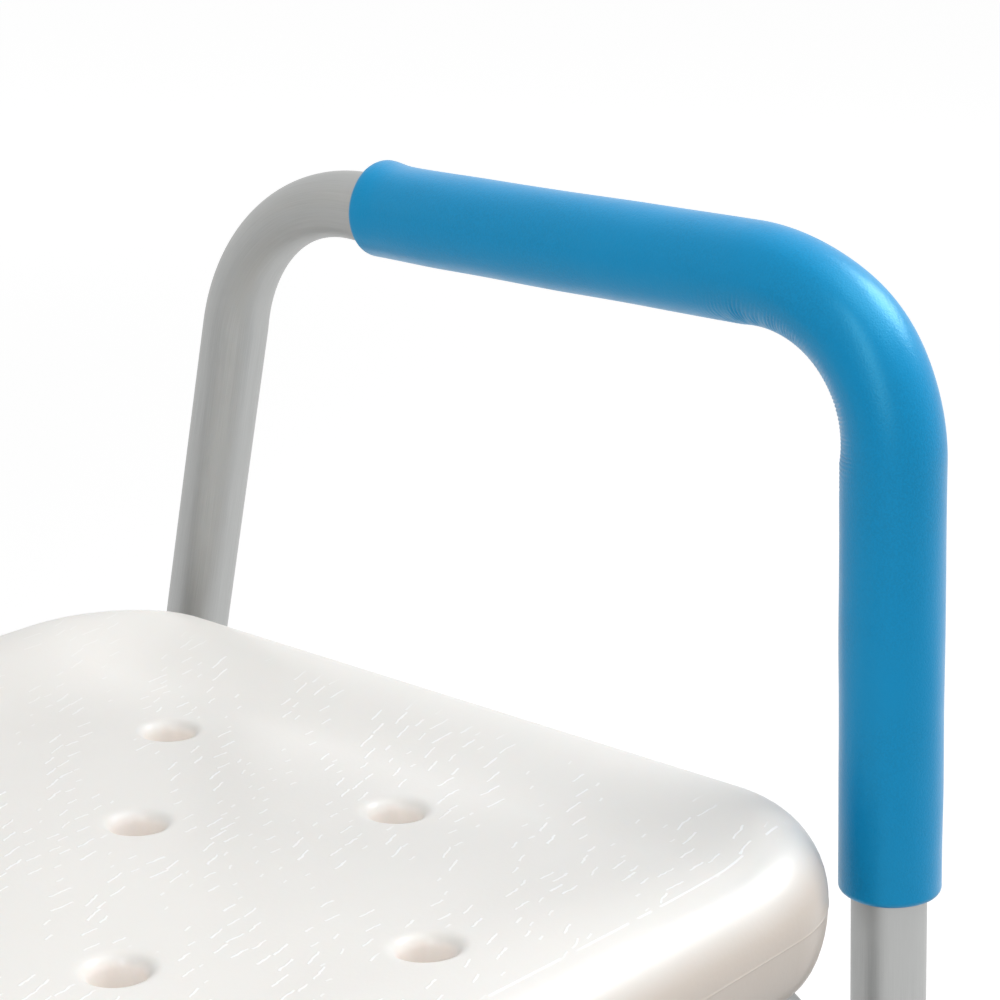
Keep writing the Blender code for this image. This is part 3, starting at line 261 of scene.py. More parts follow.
def chair():
    return bpy.context.scene.bath_chair


# Lines of the frame


def upright_y(kind, end, z):
    """The Y of a leg or an arm upright at a height. It leans in from the foot towards the middle."""
    f = chair().frame
    inward = f.foot_spread / 2 - z * tan(getattr(f, f"{kind}_lean_{end}"))
    return -inward if end == "front" else inward


leg_y, arm_y = partial(upright_y, "leg"), partial(upright_y, "arm")


def leg_point(end, side, z):
    f = chair().frame
    return Vector((side * (f.corner_x + (f.bar_z - z) * tan(f.leg_splay)), leg_y(end, z), z))


def arm_point(end, side, z):
    return Vector((side * chair().frame.arm_x, arm_y(end, z), z))


def screw_point(end, side):
    """Where a seat screw crosses the middle of the bar under the seat."""
    bar_z = chair().frame.bar_z
    return Vector((side * chair().seat.screw_x, leg_y(end, bar_z), bar_z))


def facing(origin, direction, across=None):
    """A frame at origin with its Z axis along direction and X as near across as it can be."""
    z = direction.normalized()
    hint = across or (Z if abs(z.z) < 0.9 else X)
    x = (hint - z * hint.dot(z)).normalized()
    return Matrix.Translation(origin) @ Matrix((x, z.cross(x), z)).transposed().to_4x4()


def leg_axis(end, side):
    """A frame at the foot, with Z up along the leg and X outward."""
    foot = leg_point(end, side, 0)
    return facing(foot, leg_point(end, side, chair().frame.bar_z) - foot, X * side)


def back_frame():
    """A frame at the bend of the back tubes, with Z up along the leaning part and Y to the rear."""
    b = chair().back
    return Matrix.Translation((0, b.y, b.bend_z)) @ Matrix.Rotation(-b.lean, 4, "X")


def on_back(side, y, z):
    """A point on a back tube's line, in the frame of the leaning part."""
    return back_frame() @ Vector((side * chair().seat.screw_x, y, z))


def rise(value, start, width):
    """A soft step from 0 to 1 that begins at start."""
    t = min(max((value - start) / width, 0.0), 1.0)
    return t * t * (3.0 - 2.0 * t)


def quarter(steps, first=1):
    """Angles that divide a quarter turn, up to its end."""
    return [0.5 * pi * k / steps for k in range(first, steps + 1)]


def full_turn(count, shift=0):
    return [2 * pi * (k + shift) / count for k in range(count)]


def rounded_line(corners, radii, steps=24, spacing=0.008):
    """(point, direction, share of the bend) along a line through the corners, rounded to these radii."""
    runs = []
    start = corners[0]
    for before, corner, after, radius in zip(corners, corners[1:], corners[2:], radii):
        back, on = (before - corner).normalized(), (after - corner).normalized()
        half = back.angle(on) / 2
        centre = corner + (back + on).normalized() * (radius / sin(half))
        first, last = (corner + way * (radius / tan(half)) - centre for way in (back, on))
        turn = pi - 2 * half
        runs += straight_run(start, centre + first, spacing)[min(len(runs), 1) : -1]
        for k in range(steps + 1):
            t = k / steps
            spoke = first * sin((1 - t) * turn) + last * sin(t * turn)
            along = last * cos(t * turn) - first * cos((1 - t) * turn)
            runs.append((centre + spoke / sin(turn), along.normalized(), sin(pi * t)))
        start = centre + last
    return runs + straight_run(start, corners[-1], spacing)[1:]


def straight_run(start, stop, spacing):
    count = max(1, round((stop - start).length / spacing))
    return [(start.lerp(stop, k / count), (stop - start).normalized(), 0.0) for k in range(count + 1)]


# Meshes


def linked(name, data):
    """An object with this data, in the scene."""
    obj = bpy.data.objects.new(name, data)
    bpy.context.scene.collection.objects.link(obj)
    return obj


def shaded(obj, sharp=35):
    """Smooth, with edges over this many degrees kept sharp."""
    obj.data.shade_smooth()
    obj.data.set_sharp_from_angle(angle=radians(sharp))
    return obj


def mesh_object(name, vertices, faces, finish=None, sharp=38):
    mesh = bpy.data.meshes.new(name)
    mesh.from_pydata([tuple(v) for v in vertices], [], faces)
    mesh.validate()
    if finish:
        mesh.materials.append(finish)
    return shaded(linked(name, mesh), sharp)


def closed(obj):
    """Merges a closed mesh's seams and turns its faces outward."""
    bm = bmesh.new()
    bm.from_mesh(obj.data)
    bmesh.ops.remove_doubles(bm, verts=bm.verts, dist=1e-7)
    bmesh.ops.recalc_face_normals(bm, faces=bm.faces)
    bm.to_mesh(obj.data)
    bm.free()
    return obj


def shell(name, rings, finish=None, loop=False, sharp=38):
    """A solid from rings joined in order, with caps or as a loop. A ring of one point is a pole."""
    vertices, numbers, faces = [], [], []
    for ring in rings:
        numbers.append(added(vertices, ring))
    for low, high in zip(numbers, numbers[1:] + numbers[:1] if loop else numbers[1:]):
        n, m = len(low), len(high)
        for i in range(max(n, m)):
            corners = [low[i % n], low[(i + 1) % n], high[(i + 1) % m], high[i % m]]
            faces.append([c for k, c in enumerate(corners) if c not in corners[:k]])
    if not loop:
        faces += [cap for cap in (numbers[0][::-1], numbers[-1]) if len(cap) > 2]
    return closed(mesh_object(name, vertices, faces, finish, sharp))


def added(vertices, ring):
    """Adds a ring's points to a list of vertices and returns their numbers."""
    start = len(vertices)
    vertices += ring
    return list(range(start, len(vertices)))


def softened(profile, radius, steps=3):
    """A line of (r, z) points with its inner corners rounded, as far as their sides allow."""
    points = [Vector(p) for p in profile]
    out = [points[0]]
    for before, corner, after in zip(points, points[1:], points[2:]):
        back, on = before - corner, after - corner
        if back.length < 1e-6 or on.length < 1e-6 or back.angle(on) > radians(168):
            out.append(corner)
            continue
        reach = min(radius, 0.45 * back.length, 0.45 * on.length)
        start, stop = corner + back.normalized() * reach, corner + on.normalized() * reach
        for t in (k / steps for k in range(steps + 1)):
            out.append((1 - t) ** 2 * start + 2 * t * (1 - t) * corner + t**2 * stop)
    return [(p.x, p.y) for p in out + [points[-1]]]


def softened_loop(profile, radius):
    """A closed line of points, softened at every corner."""
    middle = tuple((p + q) / 2 for p, q in zip(profile[-1], profile[0]))
    return softened([middle, *profile, middle], radius)[:-1]


def turned(name, profile, place, finish=None, sides=64, loop=False, soft=0.0004):
    """A solid turned about the Z axis of place from (r, z) points, with softened edges."""
    if soft:
        profile = softened_loop(profile, soft) if loop else softened(profile, soft)
    rings = []
    for r, z in profile:
        turns = full_turn(sides) if r > 1e-7 else [0]
        rings.append([place @ Vector((r * cos(t), r * sin(t), z)) for t in turns])
    return shell(name, rings, finish, loop)


def rod(start, stop, radius, sides=48):
    """A cutter, such as a drill."""
    reach = (stop - start).length
    profile = [(0, 0), (radius, 0), (radius, reach), (0, reach)]
    return turned("drill", profile, facing(start, stop - start), None, sides, soft=0)


def screw_drill(start, stop):
    return rod(start, stop, SCREW_HOLE_R, 24)


def combined(cutters):
    """One cutter from several."""
    bm = bmesh.new()
    for cutter in cutters:
        bm.from_mesh(cutter.data)
        bpy.data.objects.remove(cutter)
    mesh = bpy.data.meshes.new("cutters")
    bm.to_mesh(mesh)
    bm.free()
    return linked("cutters", mesh)


def carved(obj, *cutters, operation="DIFFERENCE"):
    """Cuts or joins with each helper in turn, and removes it. The result is a plain mesh."""
    for cutter in cutters:
        modifier = obj.modifiers.new("cut", "BOOLEAN")
        modifier.operation = operation
        modifier.solver = "EXACT"
        modifier.object = cutter
        settled(obj)
        bpy.data.objects.remove(cutter)
    return obj


def settled(obj):
    """Turns what the modifiers make into a plain mesh, and takes them off."""
    view = bpy.context.evaluated_depsgraph_get()
    mesh = bpy.data.meshes.new_from_object(obj.evaluated_get(view), depsgraph=view)
    obj.modifiers.clear()
    old, obj.data = obj.data, mesh
    bpy.data.meshes.remove(old)
    return obj


def mark(mesh, name, values, domain="POINT"):
    """Stores a number or a vector at each point or face corner."""
    if isinstance(values[0], float):
        mesh.attributes.new(name, "FLOAT", domain).data.foreach_set("value", values)
    else:
        flat = [number for vector in values for number in vector]
        mesh.attributes.new(name, "FLOAT_VECTOR", domain).data.foreach_set("vector", flat)


def fitted(obj, body, slot, *nodes):
    """Sets a finished piece on its body, in place of these nodes."""
    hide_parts(*nodes)
    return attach(obj, body)


# Trees of nodes


def feed(socket, source):
    """Links an input to a socket, or sets its value."""
    if isinstance(source, NodeSocket):
        socket.id_data.links.new(source, socket)
    else:
        socket.default_value = source


def put(tree, kind, inputs=(), **settings):
    """Adds a node. Its inputs go by name or number, each a socket or a value."""
    node = tree.nodes.new(kind)
    for key, value in settings.items():
        setattr(node, key, value)
    for key, source in dict(inputs).items():
        feed(node.inputs[key], source)
    return node


def worked(kind, operation, sources, places=(0, 1)):
    """The outputs of a node that works on these sources, at least one of them a socket."""
    tree = next(s for s in sources if isinstance(s, NodeSocket)).id_data
    return put(tree, kind, zip(places, sources), operation=operation).outputs


def maths(operation, *sources):
    """Works on sockets and numbers, from left to right where there are more than two."""
    if len(sources) > 2:
        sources = maths(operation, *sources[:-1]), sources[-1]
    return worked("ShaderNodeMath", operation, sources)[0]


plus, minus, times, over = (partial(maths, name) for name in ("ADD", "SUBTRACT", "MULTIPLY", "DIVIDE"))
highest, unsigned = partial(maths, "MAXIMUM"), partial(maths, "ABSOLUTE")


def vectors(operation, *sources):
    places = (0, "Scale") if operation == "SCALE" else (0, 1)
    outputs = worked("ShaderNodeVectorMath", operation, sources, places)
    return outputs["Value" if operation in ("DOT_PRODUCT", "LENGTH") else "Vector"]


def split(vector):
    return put(vector.id_data, "ShaderNodeSeparateXYZ", {0: vector}).outputs


def new_tree(name, **inputs):
    """A tree of geometry nodes with these inputs, and its own geometry input and output."""
    tree = bpy.data.node_groups.new(name, "GeometryNodeTree")
    for label, kind in {"Geometry": "Geometry", **inputs}.items():
        tree.interface.new_socket(label, in_out="INPUT", socket_type=f"NodeSocket{kind}")
    tree.interface.new_socket("Geometry", in_out="OUTPUT", socket_type="NodeSocketGeometry")
    return tree, tree.nodes.new("NodeGroupInput").outputs


def named(tree, name, kind="FLOAT_VECTOR"):
    return put(tree, "GeometryNodeInputNamedAttribute", {"Name": name}, data_type=kind).outputs["Attribute"]


def passed(geometry, kind, inputs=(), **settings):
    """Sends a geometry through a node."""
    return put(geometry.id_data, kind, {0: geometry, **dict(inputs)}, **settings).outputs[0]


def stored(geometry, name, value, kind="FLOAT_VECTOR", domain="POINT"):
    inputs = {"Name": name, "Value": value}
    return passed(geometry, "GeometryNodeStoreNamedAttribute", inputs, data_type=kind, domain=domain)


def ended(geometry, given):
    """Ends a tree with real meshes of the given material."""
    geometry = passed(geometry, "GeometryNodeRealizeInstances")
    geometry = passed(geometry, "GeometryNodeSetMaterial", {"Material": given["Material"]})
    put(geometry.id_data, "NodeGroupOutput", {"Geometry": geometry})
    return geometry.id_data


def bent_tube_tree(name):
    """A round tube along a line of points. Its bends are drawn flat on their inner side."""
    tree, given = new_tree(name, Radius="Float", Flattening="Float", Sides="Int", Material="Material")
    line = passed(given["Geometry"], "GeometryNodeMeshToCurve")
    place = put(tree, "GeometryNodeInputPosition").outputs[0]
    line = stored(line, "centre", place)
    line = stored(line, "run", put(tree, "GeometryNodeSplineParameter").outputs["Length"], "FLOAT")
    ring = {"Radius": given["Radius"], "Resolution": given["Sides"]}
    ring = put(tree, "GeometryNodeCurvePrimitiveCircle", ring).outputs["Curve"]
    wall = passed(line, "GeometryNodeCurveToMesh", {"Profile Curve": ring})
    spoke = vectors("SUBTRACT", place, named(tree, "centre"))
    out = vectors("NORMALIZE", spoke)
    inner = vectors("DOT_PRODUCT", out, named(tree, "inward"))
    press = times(highest(inner, 0.0), named(tree, "bend", "FLOAT"), given["Flattening"])
    drawn = vectors("ADD", named(tree, "centre"), vectors("SCALE", spoke, minus(1.0, press)))
    side = vectors("DOT_PRODUCT", out, named(tree, "across"))
    grain = {0: inner, 1: side, 2: named(tree, "run", "FLOAT")}
    wall = stored(wall, "straight", put(tree, "ShaderNodeCombineXYZ", grain).outputs[0], domain="CORNER")
    wall = passed(wall, "GeometryNodeSetPosition", {"Position": drawn})
    for unused in ("centre", "run"):
        wall = passed(wall, "GeometryNodeRemoveAttribute", {"Name": unused})
    return ended(passed(wall, "GeometryNodeSetShadeSmooth"), given)


def copies_tree(name):
    """Sets a copy of one piece out at every point, turned by the point's own angles."""
    tree, given = new_tree(name, Piece="Object", Material="Material")
    piece = put(tree, "GeometryNodeObjectInfo", {"Object": given["Piece"]}).outputs["Geometry"]
    turn = put(tree, "FunctionNodeEulerToRotation", {"Euler": named(tree, "turn")}).outputs[0]
    inputs = {"Instance": piece, "Rotation": turn}
    return ended(passed(given["Geometry"], "GeometryNodeInstanceOnPoints", inputs), given)


def grow(obj, name, build, **values):
    """Applies a tree, built when first asked for, with its inputs set by their names in lower case."""
    tree = bpy.data.node_groups.get(name) or build(name)
    modifier = obj.modifiers.new(name, "NODES")
    modifier.node_group = tree
    for socket in tree.interface.items_tree:
        if socket.in_out == "INPUT" and socket.name.lower() in values:
            modifier[socket.identifier] = values[socket.name.lower()]


def bent_tube(name, path, across, radius, wall, flattening=0.0, sides=64):
    """A hollow tube along a path that lies in the plane square to across."""
    mesh = bpy.data.meshes.new(name)
    points, ways, shares = zip(*path)
    mesh.from_pydata(points, [(k, k + 1) for k in range(len(path) - 1)], [])
    mark(mesh, "bend", shares)
    mark(mesh, "inward", [across.cross(along).normalized() for along in ways])
    mark(mesh, "across", [across] * len(path))
    obj, values = linked(name, mesh), {"radius": radius, "flattening": flattening, "sides": sides}
    grow(obj, "Bent tube", bent_tube_tree, material=finish("tube"), **values)
    wall_maker = obj.modifiers.new("Wall", "SOLIDIFY")
    wall_maker.thickness, wall_maker.offset, wall_maker.use_even_offset = wall, -1.0, True
    return settled(obj)


def set_out(name, source, places, finish=None):
    """Copies of a source piece at these matrices, as one mesh. The source is used up."""
    mesh = bpy.data.meshes.new(name)
    mesh.from_pydata([m.translation for m in places], [], [])
    mark(mesh, "turn", [m.to_euler() for m in places])
    obj = linked(name, mesh)
    grow(obj, "Set out copies", copies_tree, piece=source, material=finish)
    settled(obj)
    bpy.data.objects.remove(source)
    return shaded(obj)


# Finishes


def grain_at(place, scale, detail=2.0):
    """A noise from 0 to 1. Three scales make it longer one way."""
    if not isinstance(scale, float):
        place, scale = vectors("MULTIPLY", place, scale), 1.0
    inputs = {"Vector": place, "Scale": scale, "Detail": detail}
    return put(place.id_data, "ShaderNodeTexNoise", inputs).outputs[0]


def ranged(value, low, high, to_low=0.0, to_high=1.0):
    """A soft step from to_low to to_high as the value goes from low to high."""
    inputs = {"Value": value, "From Min": low, "From Max": high, "To Min": to_low, "To Max": to_high}
    return put(value.id_data, "ShaderNodeMapRange", inputs, interpolation_type="SMOOTHSTEP").outputs["Result"]


def blended(share, first, second):
    """Two colours mixed by a share. Either may be a socket."""
    inputs = {"Factor": share, 6: first, 7: second}
    return put(share.id_data, "ShaderNodeMix", inputs, data_type="RGBA").outputs[2]


def shade(base, factor=1.0):
    return (*(min(1.0, c * factor) for c in base), 1.0)


def mottled(base, grain, dark, light, low=0.3, high=0.7):
    """A colour that goes from darker to lighter with a grain."""
    return blended(ranged(grain, low, high), shade(base, dark), shade(base, light))


def attribute(tree, name, output="Fac"):
    return put(tree, "ShaderNodeAttribute", attribute_name=name).outputs[output]


def dress(shader, tone, rough, *bumps, **more):
    """Sets a shader's colour, roughness and bumps, each a height from 0 to 1 and its depth in metres."""
    normal = None
    for height, depth in bumps:
        inputs = {"Height": height, "Strength": 1.0, "Distance": depth}
        if normal:
            inputs["Normal"] = normal
        normal = put(shader.id_data, "ShaderNodeBump", inputs).outputs["Normal"]
    inputs = {"Base Color": tone, "Roughness": rough, "Normal": normal, **more}
    for key, source in inputs.items():
        feed(shader.inputs[key.replace("_", " ")], source)


def foam_finish(shader, base, place):
    speckle, cloud, patch = grain_at(place, 1500.0), grain_at(place, 26.0, 3.0), grain_at(place, 90.0, 3.0)
    tone = mottled(base, speckle, 0.93, 1.07)
    tone = blended(ranged(cloud, 0.3, 0.75), tone, shade(base, 1.05))
    rough = ranged(patch, 0.3, 0.7, 0.31, 0.35)
    bumps = (grain_at(place, 900.0), 0.00005), (speckle, 0.00007)
    dress(shader, tone, rough, *bumps, Specular_IOR_Level=0.85, Specular_Tint=(0.25, 0.82, 1.0, 1.0))


def tube_finish(shader, base, place):
    """Satin anodised tube, with faint lines along its length."""
    straight = attribute(place.id_data, "straight", "Vector")
    line, fine = grain_at(straight, (36.0, 36.0, 30.0), 3.0), grain_at(straight, (150.0, 150.0, 90.0))
    cloud = grain_at(place, 34.0)
    tone = mottled(base, line, 0.95, 1.04)
    tone = blended(ranged(cloud, 0.35, 0.7), tone, shade(base, 1.02))
    rough = plus(ranged(fine, 0.3, 0.7, 0.42, 0.50), ranged(cloud, 0.4, 0.7, 0.0, 0.04))
    dress(shader, tone, rough, (line, 0.00003), (fine, 0.00001))


def moulding_finish(shader, base, place):
    """Warm white plastic, embossed with short wavy dashes where the surface says so. The dashes and the front
    crease are whitened as painted glints, the drain holes are lightened with painted light and the rim's
    lower part is darkened with painted shade.
    """
    colours, tree = chair().finishes, place.id_data
    dash_and_glint = times(highest(dash_and_glint_layer(place, 0.0), dash_and_glint_layer(place, 0.0077)), attribute(tree, "emboss"))
    dash_and_glint = highest(dash_and_glint, front_crease_and_highlight(place))
    tone = mottled(base, grain_at(place, 14.0), 0.985, 1.01)
    # Painted shade on the rim's lower, forward-facing part.
    tone = blended(attribute(tree, "lower"), tone, shade(colours.lower))
    # Painted light in the drain holes.
    tone = blended(attribute(tree, "bore"), tone, shade(colours.bore))
    # Painted glints: the dashes and the crease line are whitened in the colour.
    tone = blended(dash_and_glint, tone, (0.98, 0.98, 0.97, 1.0))
    rough = ranged(grain_at(place, 75.0, 3.0), 0.3, 0.7, 0.29, 0.36)
    light = {"Subsurface_Weight": 0.12, "Subsurface_Radius": (1.0, 0.6, 0.45), "Subsurface_Scale": 0.004}
    bumps = (dash_and_glint, 0.00008), (grain_at(place, 620.0), 0.00003)
    dress(shader, tone, rough, *bumps, Specular_IOR_Level=0.6, **light)


def dash_and_glint_layer(place, shift):
    """One short raised mark in about half of the cells of a slightly turned grid, from 0 to 1. It is a bump,
    and it is also whitened in the colour as a painted glint.
    """
    wide, deep, turned_by, thick, soft = 0.0170, 0.0080, 12.0, 0.00026, 0.0002
    shortest, longest, wave_scale, wave_high, left_out = 0.0008, 0.0042, 300.0, 0.0014, 0.42
    x, y, z = split(place)
    flat = put(place.id_data, "ShaderNodeCombineXYZ", {0: x, 1: plus(y, z)}).outputs[0]
    turn = {"Rotation": (0.0, 0.0, radians(-turned_by)), "Location": (shift, 0.87 * shift, 0.0)}
    laid = put(place.id_data, "ShaderNodeMapping", {"Vector": flat, **turn}).outputs[0]
    cell = vectors("MULTIPLY", laid, (1 / wide, 1 / deep, 0.0))
    number = {"Vector": vectors("FLOOR", cell)}
    picked = put(place.id_data, "ShaderNodeTexWhiteNoise", number, noise_dimensions="3D").outputs
    chance, within = split(picked["Color"]), split(vectors("FRACTION", cell))

    def drawn(k, low, high):
        return ranged(chance[k], 0.0, 1.0, low, high)

    along = times(minus(within[0], drawn(0, 0.35, 0.65)), wide)
    across = times(minus(within[1], drawn(1, 0.25, 0.75)), deep)
    wave = times(minus(grain_at(place, wave_scale, 1.0), 0.5), wave_high)
    off = unsigned(plus(across, plus(times(along, drawn(2, -0.2, 0.2)), wave)))
    reach = ranged(picked["Value"], 0.40, 1.0, shortest, longest)
    line = ranged(off, thick, thick + soft, 1.0, 0.0)
    ends = ranged(minus(unsigned(along), reach), 0.0, 0.0003, 1.0, 0.0)
    there = times(maths("GREATER_THAN", picked["Value"], left_out), drawn(0, 0.35, 1.0))
    return times(times(line, ends), there)


def front_crease_and_highlight(place):
    """A broken line across the seat where its embossing ends at the front, from 0 to 1. It is raised as a
    bump and whitened in the colour as a painted highlight.
    """
    s, (x, y, z) = chair().seat, split(place)
    half_width, bow, from_edge = 0.2, 0.0048, 0.0172
    curve = maths("POWER", unsigned(over(x, half_width)), 4.0)
    off = unsigned(minus(y, plus(times(curve, bow), -s.front_y + from_edge)))
    line, ends = ranged(off, 0.0002, 0.0006, 1.0, 0.0), ranged(unsigned(x), 0.203, 0.206, 1.0, 0.0)
    above = ranged(z, s.height - 0.02, s.height - 0.015)
    gaps = ranged(grain_at(place, (95.0, 20.0, 20.0), 0.0), 0.40, 0.44)
    return times(times(line, ends), times(above, gaps))


def nylon_finish(shader, base, place):
    grain, patch = grain_at(place, 1300.0, 3.0), grain_at(place, 120.0)
    rough = ranged(grain, 0.3, 0.7, 0.40, 0.52)
    dress(shader, mottled(base, patch, 0.94, 1.06), rough, (patch, 0.00005), (grain, 0.00003))


def rubber_finish(shader, base, place):
    """Grey rubber, dusty where it meets the floor."""
    grain = grain_at(place, 900.0, 4.0)
    dust = times(ranged(split(place)[2], 0.0, 0.014, 1.0, 0.0), ranged(grain_at(place, 160.0, 3.0), 0.4, 0.7))
    tone = mottled(base, grain, 0.9, 1.08, 0.35, 0.65)
    tone = blended(times(dust, 0.5), tone, (0.46, 0.45, 0.43, 1.0))
    rough = ranged(grain, 0.3, 0.7, 0.64, 0.80)
    dress(shader, tone, rough, (grain_at(place, 300.0), 0.00008), (grain, 0.00005))


def steel_finish(smoothness, shader, base, place):
    grain = grain_at(place, (900.0, 900.0, 300.0), 3.0)
    tone = mottled(base, grain_at(place, 220.0), 0.92, 1.05)
    dress(shader, tone, ranged(grain, 0.3, 0.7, smoothness - 0.04, smoothness + 0.07), (grain, 0.000015))


FINISHES = {
    "foam": ("foam_skin", "foam", 0.0, foam_finish),
    "tube": ("anodised_aluminium", "aluminium", 1.0, tube_finish),
    "moulding": ("white_moulding", "moulding", 0.0, moulding_finish),
    "nylon": ("grey_nylon", "nylon", 0.0, nylon_finish),
    "rubber": ("grey_rubber", "rubber", 0.0, rubber_finish),
    "steel": ("bright_steel", "steel", 1.0, partial(steel_finish, 0.24)),
    "spring": ("spring_steel", "spring", 1.0, partial(steel_finish, 0.34)),
}


def finish(name):
    """A material by its short name, made when it is first asked for."""
    label, colour_name, metallic, style = FINISHES[name]
    found = bpy.data.materials.get(label + "_finish")
    if found:
        return found
    made = bpy.data.materials.new(label + "_finish")
    made.use_nodes = True
    base = tuple(getattr(chair().finishes, colour_name))
    made.diffuse_color = (*base, 1.0)
    shader = made.node_tree.nodes["Principled BSDF"]
    shader.inputs["Metallic"].default_value = metallic
    style(shader, base, put(made.node_tree, "ShaderNodeTexCoord").outputs["Object"])
    return made


# Seat


def rounded_outline(half_width, low, high, low_corner, high_corner, bow=0.0, corner_steps=24, edge_steps=60):
    """A rectangle with elliptical corners, anticlockwise. low and high are its ends in Y."""
    turns = ((half_width, high, high_corner), (-half_width, high, high_corner))
    turns += ((-half_width, low, low_corner), (half_width, low, low_corner))
    runs = []
    for quadrant, (x, y, (a, b)) in enumerate(turns):
        centre = (x - copysign(a, x), y + (b if y == low else -b))
        angles = [(0.5 * quadrant + 0.5 * k / corner_steps) * pi for k in range(corner_steps + 1)]
        runs.append([(centre[0] + a * cos(t), centre[1] + b * sin(t)) for t in angles])
    line = []
    for run, following in zip(runs, runs[1:] + runs[:1]):
        ends = list(zip(run[-1], following[0]))
        line += run + [tuple(s + (e - s) * i / edge_steps for s, e in ends) for i in range(1, edge_steps)]

    def bowed(x, y):
        return x, y - bow * (max(0.0, 1 - (x / half_width) ** 2) * rise(-y / abs(low), 0, 1))

    return [bowed(x, y) for x, y in line]


def seat_outline(side, front, rear):
    """The seat's plan, drawn in by these amounts at its sides, front and rear."""
    s = chair().seat
    front_corner = (s.front_corner_x - side, s.front_corner_y - 0.5 * front)
    rear_corner = (s.rear_corner_x - side, s.rear_corner_y - rear)
    low, high = -s.front_y + front, s.rear_y - rear
    return rounded_outline(s.width / 2 - side, low, high, front_corner, rear_corner, s.bow)


def seat_top(x, y):
    """The height of the seat's upper surface: raised sides and rear, a valley inside them and a low crown."""
    s, front_ramp, front_share = chair().seat, 0.05, 0.25
    side = s.width / 2 - s.side_roll
    ramp = rise(side - abs(x), 0, s.ramp)
    rear = rise(s.rear_y - s.rear_roll - y, 0, s.rear_ramp)
    front = 1 - front_share + front_share * rise(y + s.front_y, s.front_roll, front_ramp)
    crown = s.crown * max(0.0, 1 - (x / side) ** 2) ** 2
    return s.height - s.dish * ramp * rear * front + crown * rear * ramp


def drain_centres():
    """The places of the drain holes: an inner ring, and an outer ring mirrored about the middle."""
    s = chair().seat
    places = [(s.inner_ring, 0.5 * pi * k) for k in range(4)]
    for turn in (s.outer_low, -s.outer_side, s.outer_side, s.outer_high):
        places += [(s.outer_ring, turn), (s.outer_ring, pi - turn)]
    return [(r * cos(a), r * sin(a) - s.drain_y) for r, a in places]


def ring_at(centre, radius, count):
    return [Vector((centre[0] + radius * cos(t), centre[1] + radius * sin(t))) for t in full_turn(count)]


def distance(x, y, centre):
    return hypot(x - centre[0], y - centre[1])


def upper_surface(outline, holes, hole_r, hole_sides, step):
    """A flat mesh inside the outline, round the holes. The outline's points come first, then each hole's."""
    near, wide, row = 0.0018, 0.0048, 0.866
    points = [Vector(p) for p in outline]
    edges = [(k, (k + 1) % len(outline)) for k in range(len(outline))]
    for centre in holes:
        first = len(points)
        points += ring_at(centre, hole_r, hole_sides)
        edges += [(first + k, first + (k + 1) % hole_sides) for k in range(hole_sides)]
    for centre in holes:
        points += ring_at(centre, hole_r + near, hole_sides) + ring_at(centre, hole_r + wide, hole_sides // 2)
    (x0, x1), (y0, y1) = ((min(values), max(values)) for values in zip(*outline))
    for j in range(1, int((y1 - y0) / (step * row))):
        y = y0 + j * step * row
        for i in range(int((x1 - x0) / step) + 1):
            x = x0 + (i + 0.5 * (j % 2)) * step
            clear = all(distance(x, y, c) > hole_r + wide + 0.7 * step for c in holes)
            if clear and inside(x, y, outline) and all(distance(x, y, p) > 0.6 * step for p in outline):
                points.append(Vector((x, y)))
    found, _, faces, _, _, _ = delaunay_2d_cdt(points, edges, [], 0, 1e-7)
    kept = []
    for face in faces:
        x, y = sum((found[k] for k in face), Vector((0, 0))) / 3
        if inside(x, y, outline) and all(distance(x, y, c) >= hole_r - 1e-5 for c in holes):
            kept.append(list(face))
    return found, kept


def inside(x, y, outline):
    odd = False
    for (x0, y0), (x1, y1) in zip(outline, outline[1:] + outline[:1]):
        if (y0 > y) != (y1 > y) and x < x0 + (x1 - x0) * (y - y0) / (y1 - y0):
            odd = not odd
    return odd


def band(low, high):
    """Faces between two rings of point numbers."""
    pairs = list(zip(low, high))
    return [[a, c, d, b] for (a, b), (c, d) in zip(pairs, pairs[1:] + pairs[:1])]


def seat_body():
    """The seat as a closed solid, with a lipped pit where each drain hole will be."""
    s = chair().seat
    shoulder, widest = seat_outline(s.side_roll, s.front_roll, s.rear_roll), seat_outline(0, 0, 0)
    base, holes, sides = seat_outline(*[s.under_roll] * 3), drain_centres(), 48
    found, faces = upper_surface(shoulder, holes, s.drain_r + s.drain_lip, sides, s.mesh_step)
    vertices = [Vector((p.x, p.y, seat_top(p.x, p.y))) for p in found]
    last = list(range(len(shoulder)))
    for index, centre in enumerate(holes):
        first = len(shoulder) + index * sides
        pit(vertices, faces, list(range(first, first + sides)), centre, s.drain_r, s.drain_lip)
    parting, bottom = s.height - s.parting_drop, s.height - s.thickness
    for line in rim_rings(shoulder, widest, base, seat_top, parting, bottom):
        ring = added(vertices, line)
        faces += band(last, ring)
        last = ring
    return closed(mesh_object("seat_moulding", vertices, faces + [last], finish("moulding")))


def pit(vertices, faces, ring, centre, radius, lip, depth=0.012, steps=8):
    """A rounded lip and a blind bore inside a ring of points."""
    floor = seat_top(*centre) - depth
    for level in quarter(steps) + [None]:
        r = radius if level is None else radius + lip * (1 - sin(level))
        points = []
        for x, y in ring_at(centre, r, len(ring)):
            z = floor if level is None else seat_top(x, y) - lip * (1 - cos(level))
            points.append(Vector((x, y, z)))
        following = added(vertices, points)
        faces += band(ring, following)
        ring = following
    faces.append(ring)


